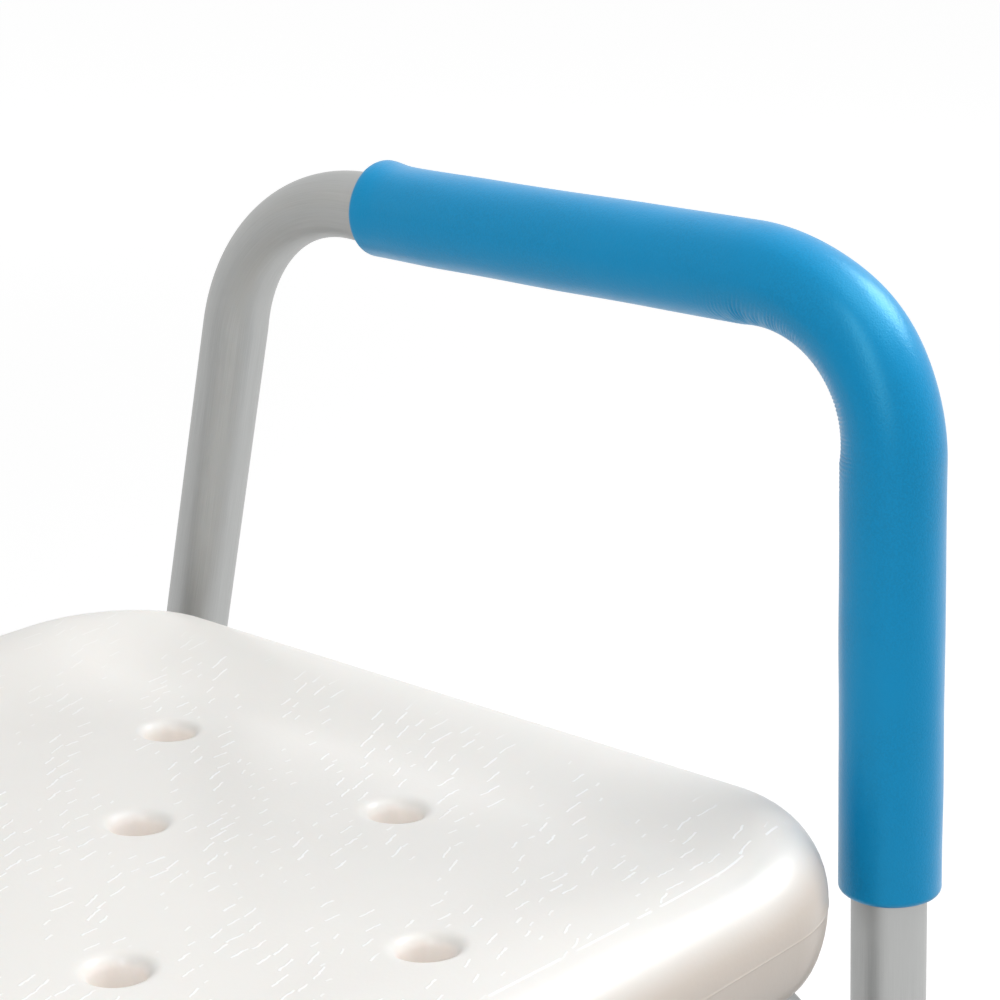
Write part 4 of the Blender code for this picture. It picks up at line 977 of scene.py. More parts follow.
def rim_rings(shoulder, widest, base, top, parting, bottom, bead=0.00022):
    """Rings from the upper surface's edge round the rim, with a fine bead on the parting line."""
    rings = []

    def height(x, y):
        return parting + (top(x, y) - parting) * cos(turn)

    for turn in quarter(14):
        rings.append(between(shoulder, widest, sin(turn), height))
    centre_y = (max(y for _, y in widest) + min(y for _, y in widest)) / 2
    bead_rings = ((0.0003, 0.0), (0.0007, bead), (0.0013, 0.0), (0.0016, 0.0))
    for drop, reach in bead_rings:
        outs = [Vector((x, y - centre_y, 0)).normalized() * reach for x, y in widest]
        rings.append([Vector((x, y, parting - drop)) + out for (x, y), out in zip(widest, outs)])
    low = parting - bead_rings[-1][0]
    for turn in quarter(9):
        rings.append(between(base, widest, cos(turn), lambda x, y: low - (low - bottom) * sin(turn)))
    return rings


def between(inner, outer, share, height):
    pairs = zip(inner, outer)
    return [Vector((a + (c - a) * share, b + (d - b) * share, height(a, b))) for (a, b), (c, d) in pairs]


def leg_frame_path(end, steps=24):
    """An inverted U: a bar under the seat and a leg at each side."""
    f = chair().frame
    slope = sqrt(1 + tan(f.leg_splay) ** 2 + (leg_y(end, 1) - leg_y(end, 0)) ** 2)
    low, high = f.leg_end / slope, f.bar_z
    corners = [leg_point(end, *at) for at in ((LEFT, low), (LEFT, high), (RIGHT, high), (RIGHT, low))]
    return rounded_line(corners, (f.bend_r, f.bend_r), steps)


def frame_normal(end):
    return Vector((0, 1, leg_y(end, 0) - leg_y(end, 1))).normalized()


def seat_channel(end):
    """Two cutters for the channel that takes a leg frame: the round of its tube, and what lies below it."""
    f = chair().frame
    path, normal, radius = leg_frame_path(end, 12), frame_normal(end), f.tube_r + f.gap
    rings = []
    for point, along, _ in path:
        inward = normal.cross(along).normalized()
        turns = full_turn(40)
        rings.append([point + inward * (radius * cos(t)) + normal * (radius * sin(t)) for t in turns])
    sheets = [[p + normal * (side * radius) for p, _, _ in path] for side in (1, -1)]
    return shell("channel", rings), shell("channel_slot", sheets)


def pocket_cutters():
    """Tapered recesses in the underside, with rounded corners and two ribs between them."""
    s, f = chair().seat, chair().frame
    wall, rib_half, rib_x, margin, draft, corner = 0.008, 0.006, 0.045, 0.026, 0.004, 0.016
    low = leg_y("front", f.bar_z) + f.tube_r + wall
    high = leg_y("rear", f.bar_z) - f.tube_r - wall
    edge = s.width / 2 - s.under_roll - margin
    bottom, ceiling = s.height - s.thickness, s.height - s.dish - 0.020
    levels = ((bottom - 0.004, 0.0), (ceiling - 0.004, 0.8 * draft))
    levels += ((ceiling - 0.001, 1.3 * draft), (ceiling, 2 * draft))
    outer, inner = rib_x + rib_half, rib_x - rib_half
    made = []
    for x0, x1 in ((-edge, -outer), (-inner, inner), (outer, edge)):
        rings = []
        for z, inset in levels:
            corners = (corner - inset,) * 2
            half = (x1 - x0) / 2 - inset
            line = rounded_outline(half, low + inset, high - inset, corners, corners, 0, 10, 2)
            rings.append([Vector((x + (x0 + x1) / 2, y, z)) for x, y in line])
        made.append(shell("pocket", rings))
    return combined(made)


def seat_piece():
    s, f = chair().seat, chair().frame
    obj = seat_body()
    carved(obj, pocket_cutters(), *seat_channel("front"), *seat_channel("rear"))
    drill_high, below_top, slack = 0.050, 0.056, 0.0002
    places = [Matrix.Translation((x, y, seat_top(x, y) - below_top)) for x, y in drain_centres()]
    carved(obj, set_out("drain_drills", rod(Z * 0, Z * drill_high, s.drain_r - slack), places))
    for _, end, side in CORNERS:
        low = screw_point(end, side)
        carved(obj, screw_drill(low, low + Z * (f.tube_r + SCREW_BITE + 0.0006)))
    shaded(obj)
    mark_seat(obj)
    return obj


def mark_seat(obj):
    """Says at each point how embossed the surface is, how far down a drain hole's wall it lies, for painted
    light there, and how low on the rim and how far it faces forward, for painted shade there.
    """
    s, centres = chair().seat, drain_centres()
    marks = {"emboss": [], "bore": [], "lower": []}
    for vertex in obj.data.vertices:
        x, y, z = vertex.co
        near = min(distance(x, y, centre) for centre in centres) - s.drain_r
        depth = seat_top(x, y) - z
        # Painted light in the drain holes: the lighter tone grows with depth near a hole's bore.
        hole = rise(-near, -s.drain_lip, s.drain_lip) * rise(depth, 0.0006, 0.004)
        marks["bore"].append(hole)
        # Painted shade: weighted mostly by how far the surface faces forward, and by how far below the top it
        # lies.
        forward = 0.1 + 0.9 * rise(-1.5 * vertex.normal.y, 0, 1)
        marks["lower"].append((1 - hole) * forward * rise(depth, 0.004, 0.013))
        side = 1 - rise(abs(x), s.width / 2 - 0.036, 0.010)
        front, rear = rise(y, 0.0175 - s.front_y, 0.002), 1 - 0.75 * rise(y, 0.02, 0.09)
        top = 1 - rise(depth, 0.002, 0.002)
        marks["emboss"].append(side * front * rear * top * rise(near, s.drain_lip, 0.003))
    for name, values in marks.items():
        mark(obj.data, name, values)


# Tubes


def corner_grain(obj, axis, radius):
    """Stores where each face corner lies round and along a straight tube, for the lines in its finish."""
    places = [axis.inverted() @ vertex.co for vertex in obj.data.vertices]
    grain = [(p.x / radius, p.y / radius, p.z) for p in places]
    mark(obj.data, "straight", [grain[loop.vertex_index] for loop in obj.data.loops], "CORNER")


def bolt_points(end, side):
    """Where an arm bolt crosses the middle of the arm upright, and the middle of the leg."""
    bolt_z = chair().frame.bolt_z
    return arm_point(end, side, bolt_z), leg_point(end, side, bolt_z)


def bolt_drill(end, side, middle):
    arm, leg = bolt_points(end, side)
    reach = (leg - arm).normalized() * 0.02
    return rod(middle - reach, middle + reach, BOLT_HOLE_R, 32)


def button_drill(axis, height=0.0):
    """A drill through one wall of a tube, along the X axis of its frame."""
    start, stop = (axis @ Vector((x, 0, height)) for x in (0.0, 0.03))
    return rod(start, stop, chair().legs.nib_r + chair().frame.gap, 32)


def leg_frame_piece(end):
    f, reach = chair().frame, Z * 0.03
    tube = bent_tube(f"{end}_frame_tube", leg_frame_path(end), frame_normal(end), f.tube_r, f.wall)
    drills = []
    for side in (LEFT, RIGHT):
        drills.append(button_drill(leg_axis(end, side), chair().legs.button_height))
        drills.append(bolt_drill(end, side, bolt_points(end, side)[1]))
        drills.append(screw_drill(screw_point(end, side) - reach, screw_point(end, side) + reach))
    return shaded(carved(tube, combined(drills)))


def arm_piece(name, side):
    f = chair().frame
    line = (("front", f.arm_end_z), ("front", f.arm_z), ("rear", f.arm_z), ("rear", f.arm_end_z))
    corners = [arm_point(end, side, z) for end, z in line]
    path = rounded_line(corners, (f.arm_front_bend_r, f.arm_rear_bend_r), 40)
    tube = bent_tube(f"arm_{name}", path, -X, f.arm_r, f.arm_wall, f.flattening, 96)
    return shaded(carved(tube, combined([bolt_drill(end, side, bolt_points(end, side)[0]) for end in ENDS])))


# Foam grips


def grip_path(side):
    """Points close together in the bend and near it, and further apart elsewhere."""
    f, g = chair().frame, chair().grip
    corners = [arm_point("front", side, z) for z in (f.arm_z - g.drop, f.arm_z)]
    corners.append(Vector((side * f.arm_x, arm_y("rear", f.arm_z) - g.rear_gap, f.arm_z)))
    path = rounded_line(corners, (f.arm_front_bend_r,), 330, 0.0005)
    bent, near = [k for k, point in enumerate(path) if point[2] > 0], 44
    close = range(bent[0] - near + 1, bent[-1] + near)
    return [p for k, p in enumerate(path) if k in close or k % 5 == 0 or k == len(path) - 1]


def wrinkle(run, arc, inner, share, side):
    """How far the foam is pressed in by the creases inside its bend."""
    g, (drift_run, drift_arc), (gap_run, gap_arc) = chair().grip, (0.016, 0.010), (0.0040, 0.009)
    zone = rise(inner, 0.18, 0.40) * share
    if zone <= 0:
        return 0.0
    drift = noise.noise(Vector((run / drift_run, arc / drift_arc, 3.1 * side)))
    valley = (0.5 + 0.5 * cos(2 * pi * (run / g.crease_pitch + 1.3 * drift))) ** 2
    broken = rise(0.6 + 1.4 * noise.noise(Vector((run / gap_run, arc / gap_arc, 7.7 * side))), 0, 1)
    return g.crease * zone * valley * (0.25 + 0.75 * broken)


def grip_reach(bend, run, whole, bent, turn, side):
    """The foam's outer radius at a place on its path and an angle from the bend's inner side."""
    f, g = chair().frame, chair().grip
    bend_turn, beyond = 1.53, 0.018
    flare_at, flare_width, swell_at, swell_width = 0.0015, 0.006, 0.46, 0.24
    unevenness, patch = 0.00025, 0.035
    cosine = cos(turn)
    inner, outer = max(0.0, cosine) * bend, max(0.0, -cosine) * bend
    reach = f.arm_r * (1 - f.flattening * inner) + (g.radius - f.arm_r) * (1 - g.squeeze * inner)
    reach += g.flare * (0.5 - 0.5 * cosine) * exp(-(((whole - run - flare_at) / flare_width) ** 2))
    through = (run - bent[0]) / (bent[1] - bent[0])
    swell = exp(-(((through - swell_at) / swell_width) ** 2)) - 0.55 * rise(through, 0.5, 0.4)
    reach += g.bulge * (swell * outer + (1.7 * through - 0.6) * inner)
    reach += unevenness * noise.noise(Vector((run / patch, cosine * 1.4, sin(turn) * 1.4 + 5 * side)))
    near = max(0.0, 1 - abs(run - sum(bent) / 2) / (0.5 * f.arm_front_bend_r * bend_turn + beyond))
    return reach - wrinkle(run, turn * g.radius, cosine, rise(3.0 * near, 0, 1), side)


def grip_piece(name, side, sides=120):
    f, g = chair().frame, chair().grip
    path, runs, across = grip_path(side), [0.0], -X
    for before, after in zip(path, path[1:]):
        runs.append(runs[-1] + (after[0] - before[0]).length)
    bent = [r for r, p in zip(runs, path) if p[2] > 0]
    bent = bent[0], bent[-1]

    def ring(k, shift, change, bore=False):
        point, along, bend = path[k]
        inward = across.cross(along).normalized()
        if not bore:
            point = point + inward * g.sag * (1 - 2 * along.z) * rise(runs[-1] - runs[k], 0, 0.035)
        out = []
        for turn in full_turn(sides):
            if bore:
                reach = (f.arm_r + 0.0002) * (1 - f.flattening * bend * max(0.0, cos(turn)))
            else:
                signed = turn if turn < pi else turn - 2 * pi
                reach = grip_reach(bend, runs[k], runs[-1], bent, signed, side) + change
            out.append(point + along * shift + inward * (reach * cos(turn)) + across * (reach * sin(turn)))
        return out

    rim, last = g.end_round, len(path) - 1
    turns = [(rim * (1 - cos(t)), -rim * (1 - sin(t))) for t in quarter(7, 0)]
    rings = [ring(0, shift, change) for shift, change in turns]
    rings += [ring(k, 0, 0) for k in range(1, last) if rim * 1.1 < runs[k] < runs[-1] - rim * 1.1]
    rings += [ring(last, -shift, change) for shift, change in reversed(turns)]
    rings += [ring(k, 0, 0, True) for k in range(last, -1, -1) if k % 6 == 0 or k == last]
    grip = shell(f"foam_grip_{name}", rings, finish("foam"), loop=True, sharp=60)
    return grip


# Leg extensions, collars, tips and snap buttons


def leg_sizes():
    """The sleeve's bore and outer radius."""
    bore = chair().frame.tube_r + chair().frame.gap
    return bore, bore + chair().legs.sleeve_wall


def extension_piece(tag, axis):
    g, (bore, outer) = chair().legs, leg_sizes()
    profile = [(outer, g.sleeve_bottom), (outer, g.sleeve_top), (bore, g.sleeve_top), (bore, g.sleeve_bottom)]
    sleeve = turned(f"sleeve_{tag}", profile, axis, finish("tube"), 72, loop=True, soft=0.0003)
    corner_grain(sleeve, axis, outer)
    drill = rod(X * (0.5 * outer), X * (1.5 * outer), g.nib_r + chair().frame.gap, 32)
    heights = [g.button_height + k * g.hole_pitch for k in range(g.hole_count)]
    places = [axis @ Matrix.Translation((0, 0, z)) for z in heights]
    return shaded(carved(sleeve, set_out("hole_drills", drill, places)))


def collar_piece(tag, axis):
    g, gap, (bore, sleeve) = chair().legs, chair().frame.gap, leg_sizes()
    bottom, top, cup = g.sleeve_top - g.collar_length, g.sleeve_top + g.collar_lip, sleeve + gap
    outer = cup + g.collar_wall
    waist = outer - 0.0005
    profile = [(outer - 0.0008, bottom), (outer, bottom + 0.0012), (outer, bottom + 0.0050)]
    profile += [(waist, bottom + 0.0056), (waist, bottom + 0.0066), (outer, bottom + 0.0072)]
    profile += [(outer, top - 0.0035), (outer - 0.0022, top), (bore, top), (bore, g.sleeve_top + gap)]
    profile += [(cup, g.sleeve_top + gap), (cup, bottom)]
    return turned(f"collar_{tag}", profile, axis, finish("nylon"), 72, loop=True, soft=0.0006)


def tip_piece(tag, axis):
    """A ribbed cup, cut level with the floor, with a round hollow and a groove in its tread."""
    g, cup = chair().legs, leg_sizes()[1] + chair().frame.gap
    wall, base_r = cup + g.tip_wall, g.tip_base_r
    profile = [(0, -0.010), (base_r, -0.010), (base_r, 0.004), (base_r - 0.001, 0.009), (wall, 0.013)]
    for z in (0.0175, 0.0265):
        profile += [(wall, z), (wall + 0.0012, z + 0.001), (wall + 0.0012, z + 0.003), (wall, z + 0.004)]
    profile += [(wall - 0.0004, g.tip_height - 0.001), (wall - 0.0014, g.tip_height)]
    profile += [(cup, g.tip_height), (cup, g.tip_floor), (0, g.tip_floor)]
    tip, foot = turned(f"tip_{tag}", profile, axis, finish("rubber"), 96, soft=0.0012), axis.translation
    hollow = rod(foot - Z * 0.005, foot + Z * 0.0018, 0.011, 64)
    groove = [(0.0135, -0.003), (0.0150, -0.003), (0.0150, 0.0010), (0.0135, 0.0010)]
    groove = turned("groove", groove, Matrix.Translation(foot), None, 64, loop=True, soft=0)
    return shaded(carved(tip, rod(foot - Z * 0.05, foot, 0.05), hollow, groove))


def nib_piece(name, place, outer):
    """A domed nib with a flange. Its press axis is the X axis of place."""
    f, g, dome = chair().frame, chair().legs, 0.0015
    face = sqrt((f.tube_r - f.wall) ** 2 - FLANGE_R**2) - f.gap
    tip = outer + g.nib_proud
    profile = [(0, face - FLANGE), (FLANGE_R, face - FLANGE), (FLANGE_R, face), (g.nib_r, face)]
    profile += [(g.nib_r * cos(t), tip - dome + dome * sin(t)) for t in quarter(8, 0)[:-1]] + [(0, tip)]
    press = facing(place.translation, place.to_3x3() @ X)
    return turned(name, profile, press, finish("steel"), 48, soft=0.0002)


def leaf_source():
    """A spring strip folded to a V, with its press axis along X."""
    f, g = chair().frame, chair().legs
    bore, t, tail, across = f.tube_r - f.wall, g.leaf_thickness, 0.006, Y * (g.leaf_width / 2)
    near = sqrt(bore**2 - FLANGE_R**2) - f.gap - FLANGE - f.gap - t / 2
    far = sqrt(bore**2 - (g.leaf_width / 2) ** 2) - f.gap - t / 2
    corners = [(near, -tail), (near, tail), (0, g.leaf_length + 0.0055), (-far, tail), (-far, -tail)]
    rings = []
    for point, along, _ in rounded_line([Vector((x, 0, z)) for x, z in corners], (0.012, 0.0012, 0.012), 14):
        out = along.cross(Y) * (t / 2)
        rings.append([point + across + out, point - across + out, point - across - out, point + across - out])
    return shell("leaf", rings)


def leg_button_place(end, side):
    return leg_axis(end, side) @ Matrix.Translation((0, 0, chair().legs.button_height))


def back_button_place(side):
    b = chair().back
    below_rim = 0.014
    place = Vector((side * chair().seat.screw_x, b.y, b.socket_top - below_rim))
    return Matrix.Translation(place) @ Matrix.Rotation(radians(90), 4, "Z")


# Fastenings


def dome(r0, r1, z0, z1, steps=8):
    """Points of a domed head, from near its middle to its rim."""
    return [(r0 + r1 * sin(t), z0 + z1 * cos(t)) for t in quarter(steps)]


def pan_screw(name, length):
    """A screw that points up from the underside of its head, with a cross recess."""
    head_r, head, shank = 0.0048, 0.0030, 0.0024
    profile = [(0, -head)] + dome(0.35 * head_r, 0.65 * head_r, -0.25 * head, -0.75 * head)
    profile += [(head_r, 0), (shank, 0), (shank, length - 0.003), (0, length)]
    screw = turned(name, profile, Matrix(), finish("steel"), 48, soft=0.0002)
    for x, y in ((0.0026, 0.0005), (0.0005, 0.0026)):
        square = ((-x, -y), (x, -y), (x, y), (-x, y))
        carved(screw, shell("recess", [[Vector((*p, z - head)) for p in square] for z in (-0.001, 0.0014)]))
    return screw


def seat_screws_piece(end):
    f, s = chair().frame, chair().seat
    front, rear = f.bar_z - f.tube_r - f.gap, s.height - s.thickness - 2 * f.gap - SOCKET_FOOT
    under = front if end == "front" else rear
    source = pan_screw("seat_screw", f.bar_z + f.tube_r + SCREW_BITE - under)
    places = [Matrix.Translation((*screw_point(end, side).xy, under)) for side in (LEFT, RIGHT)]
    return set_out(f"seat_screws_{end}", source, places, finish("steel"))


def stand_off(tube_r, bearing_r, bolt, tube_line):
    """How far from a tube's middle a flat bearing face clears it, where the bolt crosses it askew."""
    tilt = abs(pi / 2 - bolt.angle(tube_line))
    return tube_r / cos(tilt) + bearing_r * tan(tilt) + chair().frame.gap


def bolt_line(end, side=LEFT):
    """The bolt's frame, the head's bearing face and the nut's, along it."""
    f = chair().frame
    arm, leg = bolt_points(end, side)
    arm_line = Vector((0, arm_y(end, 1) - arm_y(end, 0), 1))
    head = -stand_off(f.arm_r, BOLT_HEAD_R, leg - arm, arm_line)
    nut = (leg - arm).length + stand_off(f.tube_r, NUT_R, leg - arm, leg_axis(end, side).to_3x3() @ Z)
    return facing(arm, leg - arm), head, nut


def on_bolts(name, end, source):
    """Copies on both of an end's bolt lines."""
    return set_out(f"{name}_{end}", source, [bolt_line(end, s)[0] for s in (LEFT, RIGHT)], finish("steel"))


def arm_bolts_piece(end):
    """Domed bolts with a hexagonal recess."""
    _, head, nut = bolt_line(end)
    height, edge, shank = 0.0042, 0.0008, 0.003
    profile = [(0, head - height)] + dome(0, BOLT_HEAD_R, head - edge, edge - height, 10)
    profile += [(BOLT_HEAD_R, head), (shank, head), (shank, nut + 0.0058), (0, nut + 0.0065)]
    source = turned("arm_bolt", profile, Matrix(), finish("steel"), 60, soft=0.0002)
    recess = rod(Z * (head - height - 0.002), Z * (head - height + 0.0022), 0.0023, 6)
    return on_bolts("arm_bolts", end, carved(source, recess))


def arm_nuts_piece(end):
    """Domed nuts: a hexagon that runs into a dome, with a blind bore."""
    nut, radius, bore, sixth = bolt_line(end)[2], NUT_R, BOLT_HOLE_R, radians(60)

    def ring(z, r, hexagonal):
        out = []
        for turn in full_turn(48 if r else 1):
            flat = cos(sixth / 2) / cos(turn % sixth - sixth / 2)
            reach = r * (1 + hexagonal * (flat - 1))
            out.append(Vector((reach * cos(turn), reach * sin(turn), nut + z)))
        return out

    deep, dome_z, dome_high, dome_r = 0.0068, 0.0060, 0.0030, 0.78 * radius
    levels = [(deep, 0, 0), (deep, bore, 0), (0, bore, 0), (0, 0.92 * radius, 0), (0.0004, radius, 1)]
    levels += [(0.0037, radius, 1), (0.0041, 0.86 * radius, 0), (0.0043, 0.80 * radius, 0)]
    levels += [(dome_z + dome_high * sin(t), dome_r * cos(t), 0) for t in quarter(8, 0)[:-1]]
    rings = [ring(*level) for level in levels + [(dome_z + dome_high, 0, 0)]]
    return on_bolts("arm_nuts", end, shell("nut", rings, finish("steel")))


def arm_caps_piece():
    f = chair().frame
    stem = f.arm_r - f.arm_wall - 2 * f.gap
    profile = [(0, -0.0033)] + dome(0.7 * f.arm_r, 0.3 * f.arm_r, -0.0013, -0.002)
    profile += [(f.arm_r, -f.gap), (stem, -f.gap), (stem, 0.011), (stem - 0.001, 0.012), (0, 0.012)]
    source = turned("cap", profile, Matrix(), finish("nylon"), soft=0.0002)
    places = []
    for _, end, side in CORNERS:
        low = arm_point(end, side, f.arm_end_z)
        places.append(facing(low, arm_point(end, side, f.arm_z) - low))
    return set_out("arm_end_caps", source, places, finish("nylon"))


def spacer_piece(tag, end, side):
    """A short round block, hollowed at each end to the tube that it bears on."""
    f, (arm, leg), bore, end_r, waist_r = chair().frame, bolt_points(end, side), 0.0034, 0.0113, 0.0105
    length = (arm - leg).length
    profile = [(bore, 0), (end_r, 0), (waist_r, 0.3 * length), (waist_r, 0.7 * length)]
    profile += [(end_r, length), (bore, length)]
    spacer = turned(f"spacer_{tag}", profile, facing(arm, leg - arm), finish("nylon"), loop=True, soft=0.0003)
    up = (arm_point(end, side, f.arm_z) - arm).normalized() * 0.05
    slant = leg_axis(end, side).to_3x3() @ (Z * 0.05)
    carved(spacer, rod(arm - up, arm + up, f.arm_r + f.gap, 96))
    return shaded(carved(spacer, rod(leg - slant, leg + slant, f.tube_r + f.gap, 96)))


# Back


def back_tube_piece(name, side):
    f, b, x = chair().frame, chair().back, side * chair().seat.screw_x
    corners = [Vector((x, b.y, b.tube_foot_z)), Vector((x, b.y, b.bend_z)), on_back(side, 0, b.tube_top)]
    tube = bent_tube(f"upright_{name}", rounded_line(corners, (b.bend_r,), 16), X, f.tube_r, f.wall)
    drill = screw_drill(on_back(side, 0, b.screw_z), on_back(side, 0.03, b.screw_z))
    return shaded(carved(tube, combined([button_drill(back_button_place(side)), drill])))


def panel_front(x, _):
    """How far the panel's front face stands from its middle plane: hollowed from side to side."""
    b = chair().back
    share = max(0.0, 1 - (x / (b.panel_width / 2 - b.panel_roll)) ** 2)
    return b.panel_thickness / 2 - b.panel_dish * share


def slot_cutter():
    """The hand slot, as a stadium with rounded lips on both faces."""
    b, flare = chair().back, 0.006
    middle, thick = b.panel_bottom + b.panel_height - b.slot_drop, b.panel_thickness
    lip = [((0.22 + 0.28 * sin(t)) * thick, flare * (1 - cos(t))) for t in quarter(8, 0)]
    lip.append((0.6 * thick, flare))
    rings = []
    for z, extra in [(-z, extra) for z, extra in reversed(lip)] + lip:
        half_w, half_h = b.slot_width / 2 + extra, b.slot_height / 2 + extra
        ring = []
        for turn in full_turn(72, 0.5):
            x = copysign(half_w - half_h, cos(turn)) + half_h * cos(turn)
            ring.append(Vector((x, middle + half_h * sin(turn), z)))
        rings.append(ring)
    return shell("slot", rings)


def panel_piece():
    """A moulded panel with a hand slot and two blind bores that take the back tubes from below."""
    f, b = chair().frame, chair().back
    low, high = b.panel_bottom, b.panel_bottom + b.panel_height
    outlines = []
    for inset in (b.panel_roll, 0, b.panel_roll):
        corner, half = (b.panel_corner - inset,) * 2, b.panel_width / 2 - inset
        outlines.append(rounded_outline(half, low + inset, high - inset, corner, corner, 0, 20, 24))
    middle = (low + high) / 2
    rings = [[Vector((0, middle, panel_front(0, 0)))]]
    for share in (k / 26 for k in range(1, 27)):
        line = [(x * share, middle + (y - middle) * share) for x, y in outlines[0]]
        rings.append([Vector((x, y, panel_front(x, y))) for x, y in line])
    rings += rim_rings(*outlines, panel_front, 0.0, -b.panel_thickness / 2)
    panel = carved(shell("back_moulding", rings, finish("moulding")), slot_cutter())
    to_world = back_frame() @ Matrix.Rotation(radians(90), 4, "X")
    panel.data.transform(to_world)
    bores, holes = [], []
    for side in (LEFT, RIGHT):
        start, stop = on_back(side, 0, low - 0.01), on_back(side, 0, b.tube_top + f.gap)
        bores.append(rod(start, stop, f.tube_r + f.gap, 64))
        holes.append(screw_drill(on_back(side, 0.005, b.screw_z), on_back(side, 0.03, b.screw_z)))
    carved(panel, combined(bores), combined(holes))
    emboss = []
    for x, y, z in (to_world.inverted() @ vertex.co for vertex in panel.data.vertices):
        edge = min(b.panel_width / 2 - abs(x), y - low, high - y)
        off_slot = hypot(max(0.0, abs(x) - b.slot_width / 2), y - high + b.slot_drop)
        face = rise(z - panel_front(x, y), -0.0015, 0.001)
        emboss.append(face * rise(edge, 0.016, 0.008) * rise(off_slot, 0.024, 0.006))
    mark(panel.data, "emboss", emboss)
    return shaded(panel)


def panel_screws_piece():
    f, b = chair().frame, chair().back
    face, backward = b.panel_thickness / 2 + f.gap, back_frame().to_3x3() @ -Y
    source = pan_screw("panel_screw", face - (f.tube_r - f.wall - 0.004))
    places = [facing(on_back(side, face, b.screw_z), backward) for side in (LEFT, RIGHT)]
    return set_out("panel_screws", source, places, finish("steel"))


def socket_piece(name, side):
    """A moulded socket behind the seat. Its foot runs under the seat's edge and cups the rear bar."""
    f, s, b = chair().frame, chair().seat, chair().back
    bar, across, neck = leg_y("rear", f.bar_z), screw_point("rear", side), 0.0095
    x, top = across.x, s.height - s.thickness - f.gap
    low, front, under = top - SOCKET_FOOT, bar - neck - 0.005, leg_y("rear", top)
    outline = [(front, low), (b.y, low), (b.y, top), (under + neck, top), (bar + neck, f.bar_z)]
    outline += [(bar - neck, f.bar_z), (under - neck, top), (front, top)]
    line = softened_loop(outline, 0.0012)
    edge, half = 0.0008, 0.012
    rings = []
    for w, inset in ((-half, edge), (-half + edge, 0), (half - edge, 0), (half, edge)):
        rings.append([Vector((x + w, y, z)) for y, z in drawn_in(line, inset)])
    socket = shell(f"socket_{name}", rings, finish("nylon"))
    bore, floor, rim = f.tube_r + f.gap, b.tube_foot_z - f.gap - b.socket_floor, b.socket_top
    outer = bore + b.socket_wall
    barrel = [(0, floor), (outer - 0.002, floor), (outer, floor + 0.003), (outer, rim - 0.001)]
    barrel += [(outer - 0.001, rim), (0, rim)]
    foot = Vector((x, b.y, 0))
    barrel = turned("barrel", barrel, Matrix.Translation(foot), finish("nylon"), 72, soft=0.0006)
    carved(socket, barrel, operation="UNION")
    cutters = [rod(foot + Z * (b.tube_foot_z - f.gap), foot + Z * (rim + 0.01), bore, 72)]
    cutters.append(rod(across - X * 0.04, across + X * 0.04, f.tube_r + f.gap, 72))
    cutters.append(button_drill(back_button_place(side)))
    cutters.append(rod(foot + Z * (floor - 0.005), foot + Z * (floor + 0.010), 0.003, 32))
    cutters.append(screw_drill(Vector((x, bar, low - 0.01)), across))
    return shaded(carved(socket, *cutters))


def drawn_in(line, inset):
    """A closed outline with each point moved in by about this much."""
    out = []
    for before, here, after in zip(line[-1:] + line[:-1], line, line[1:] + line[:1]):
        along = Vector((after[0] - before[0], after[1] - before[1])).normalized()
        out.append((here[0] - along.y * inset, here[1] + along.x * inset))
    return out


# Stage


def seen_rays(tree):
    """1 for what the camera, a reflection or clear material sees directly."""
    rays = put(tree, "ShaderNodeLightPath").outputs
    return highest(rays["Is Camera Ray"], highest(rays["Is Glossy Ray"], rays["Is Transmission Ray"]))


def emptied(made):
    """The tree of a material or a world, without its first nodes."""
    made.use_nodes = True
    made.node_tree.nodes.clear()
    return made.node_tree


def stage_floor():
    reach = 40.0
    corners = [(x * reach, y * reach, -0.0004) for x, y in ((-1, -1), (1, -1), (1, 1), (-1, 1))]
    made = bpy.data.materials.new("floor_finish")
    tree = emptied(made)
    diffuse = put(tree, "ShaderNodeBsdfDiffuse", {"Color": (*chair().stage.floor, 1.0)})
    far = vectors("LENGTH", put(tree, "ShaderNodeTexCoord").outputs["Object"])
    glow = times(ranged(far, 0.8, 4.0, 0.62, 0.78), seen_rays(tree))
    light = put(tree, "ShaderNodeEmission", {"Strength": glow, "Color": WHITE})
    both = put(tree, "ShaderNodeAddShader", {0: diffuse.outputs[0], 1: light.outputs[0]})
    put(tree, "ShaderNodeOutputMaterial", {"Surface": both.outputs[0]})
    mesh_object("floor", corners, [(0, 1, 2, 3)], made)


def stage_world():
    world = bpy.data.worlds.new("studio")
    bpy.context.scene.world = world
    tree = emptied(world)
    soft = put(tree, "ShaderNodeBackground", {"Strength": chair().stage.ambient, "Color": WHITE})
    white = put(tree, "ShaderNodeBackground", {"Strength": 1.0, "Color": WHITE})
    both = put(tree, "ShaderNodeMixShader", {0: seen_rays(tree), 1: soft.outputs[0], 2: white.outputs[0]})
    put(tree, "ShaderNodeOutputWorld", {"Surface": both.outputs[0]})


def soft_lamp(name, place, size, power, aim=Z * 0.4):
    lamp = bpy.data.lights.new(name, "AREA")
    lamp.shape = "RECTANGLE"
    lamp.size, lamp.size_y = size
    lamp.energy = power
    linked(name, lamp).matrix_world = facing(Vector(place), Vector(place) - aim, Z)


def stage_camera():
    """The photograph's viewpoint."""
    data = bpy.data.cameras.new("camera")
    data.lens, data.sensor_width = 97.344, 36.0
    data.clip_start, data.clip_end = 0.05, 200.0
    camera = linked("camera", data)
    azimuth, elevation = -49.23, 16.73
    camera.location = (-0.460, -0.64565, 0.758)
    camera.rotation_euler = (radians(90 - elevation), 0, radians(azimuth))
    bpy.context.scene.camera = camera


# Operators


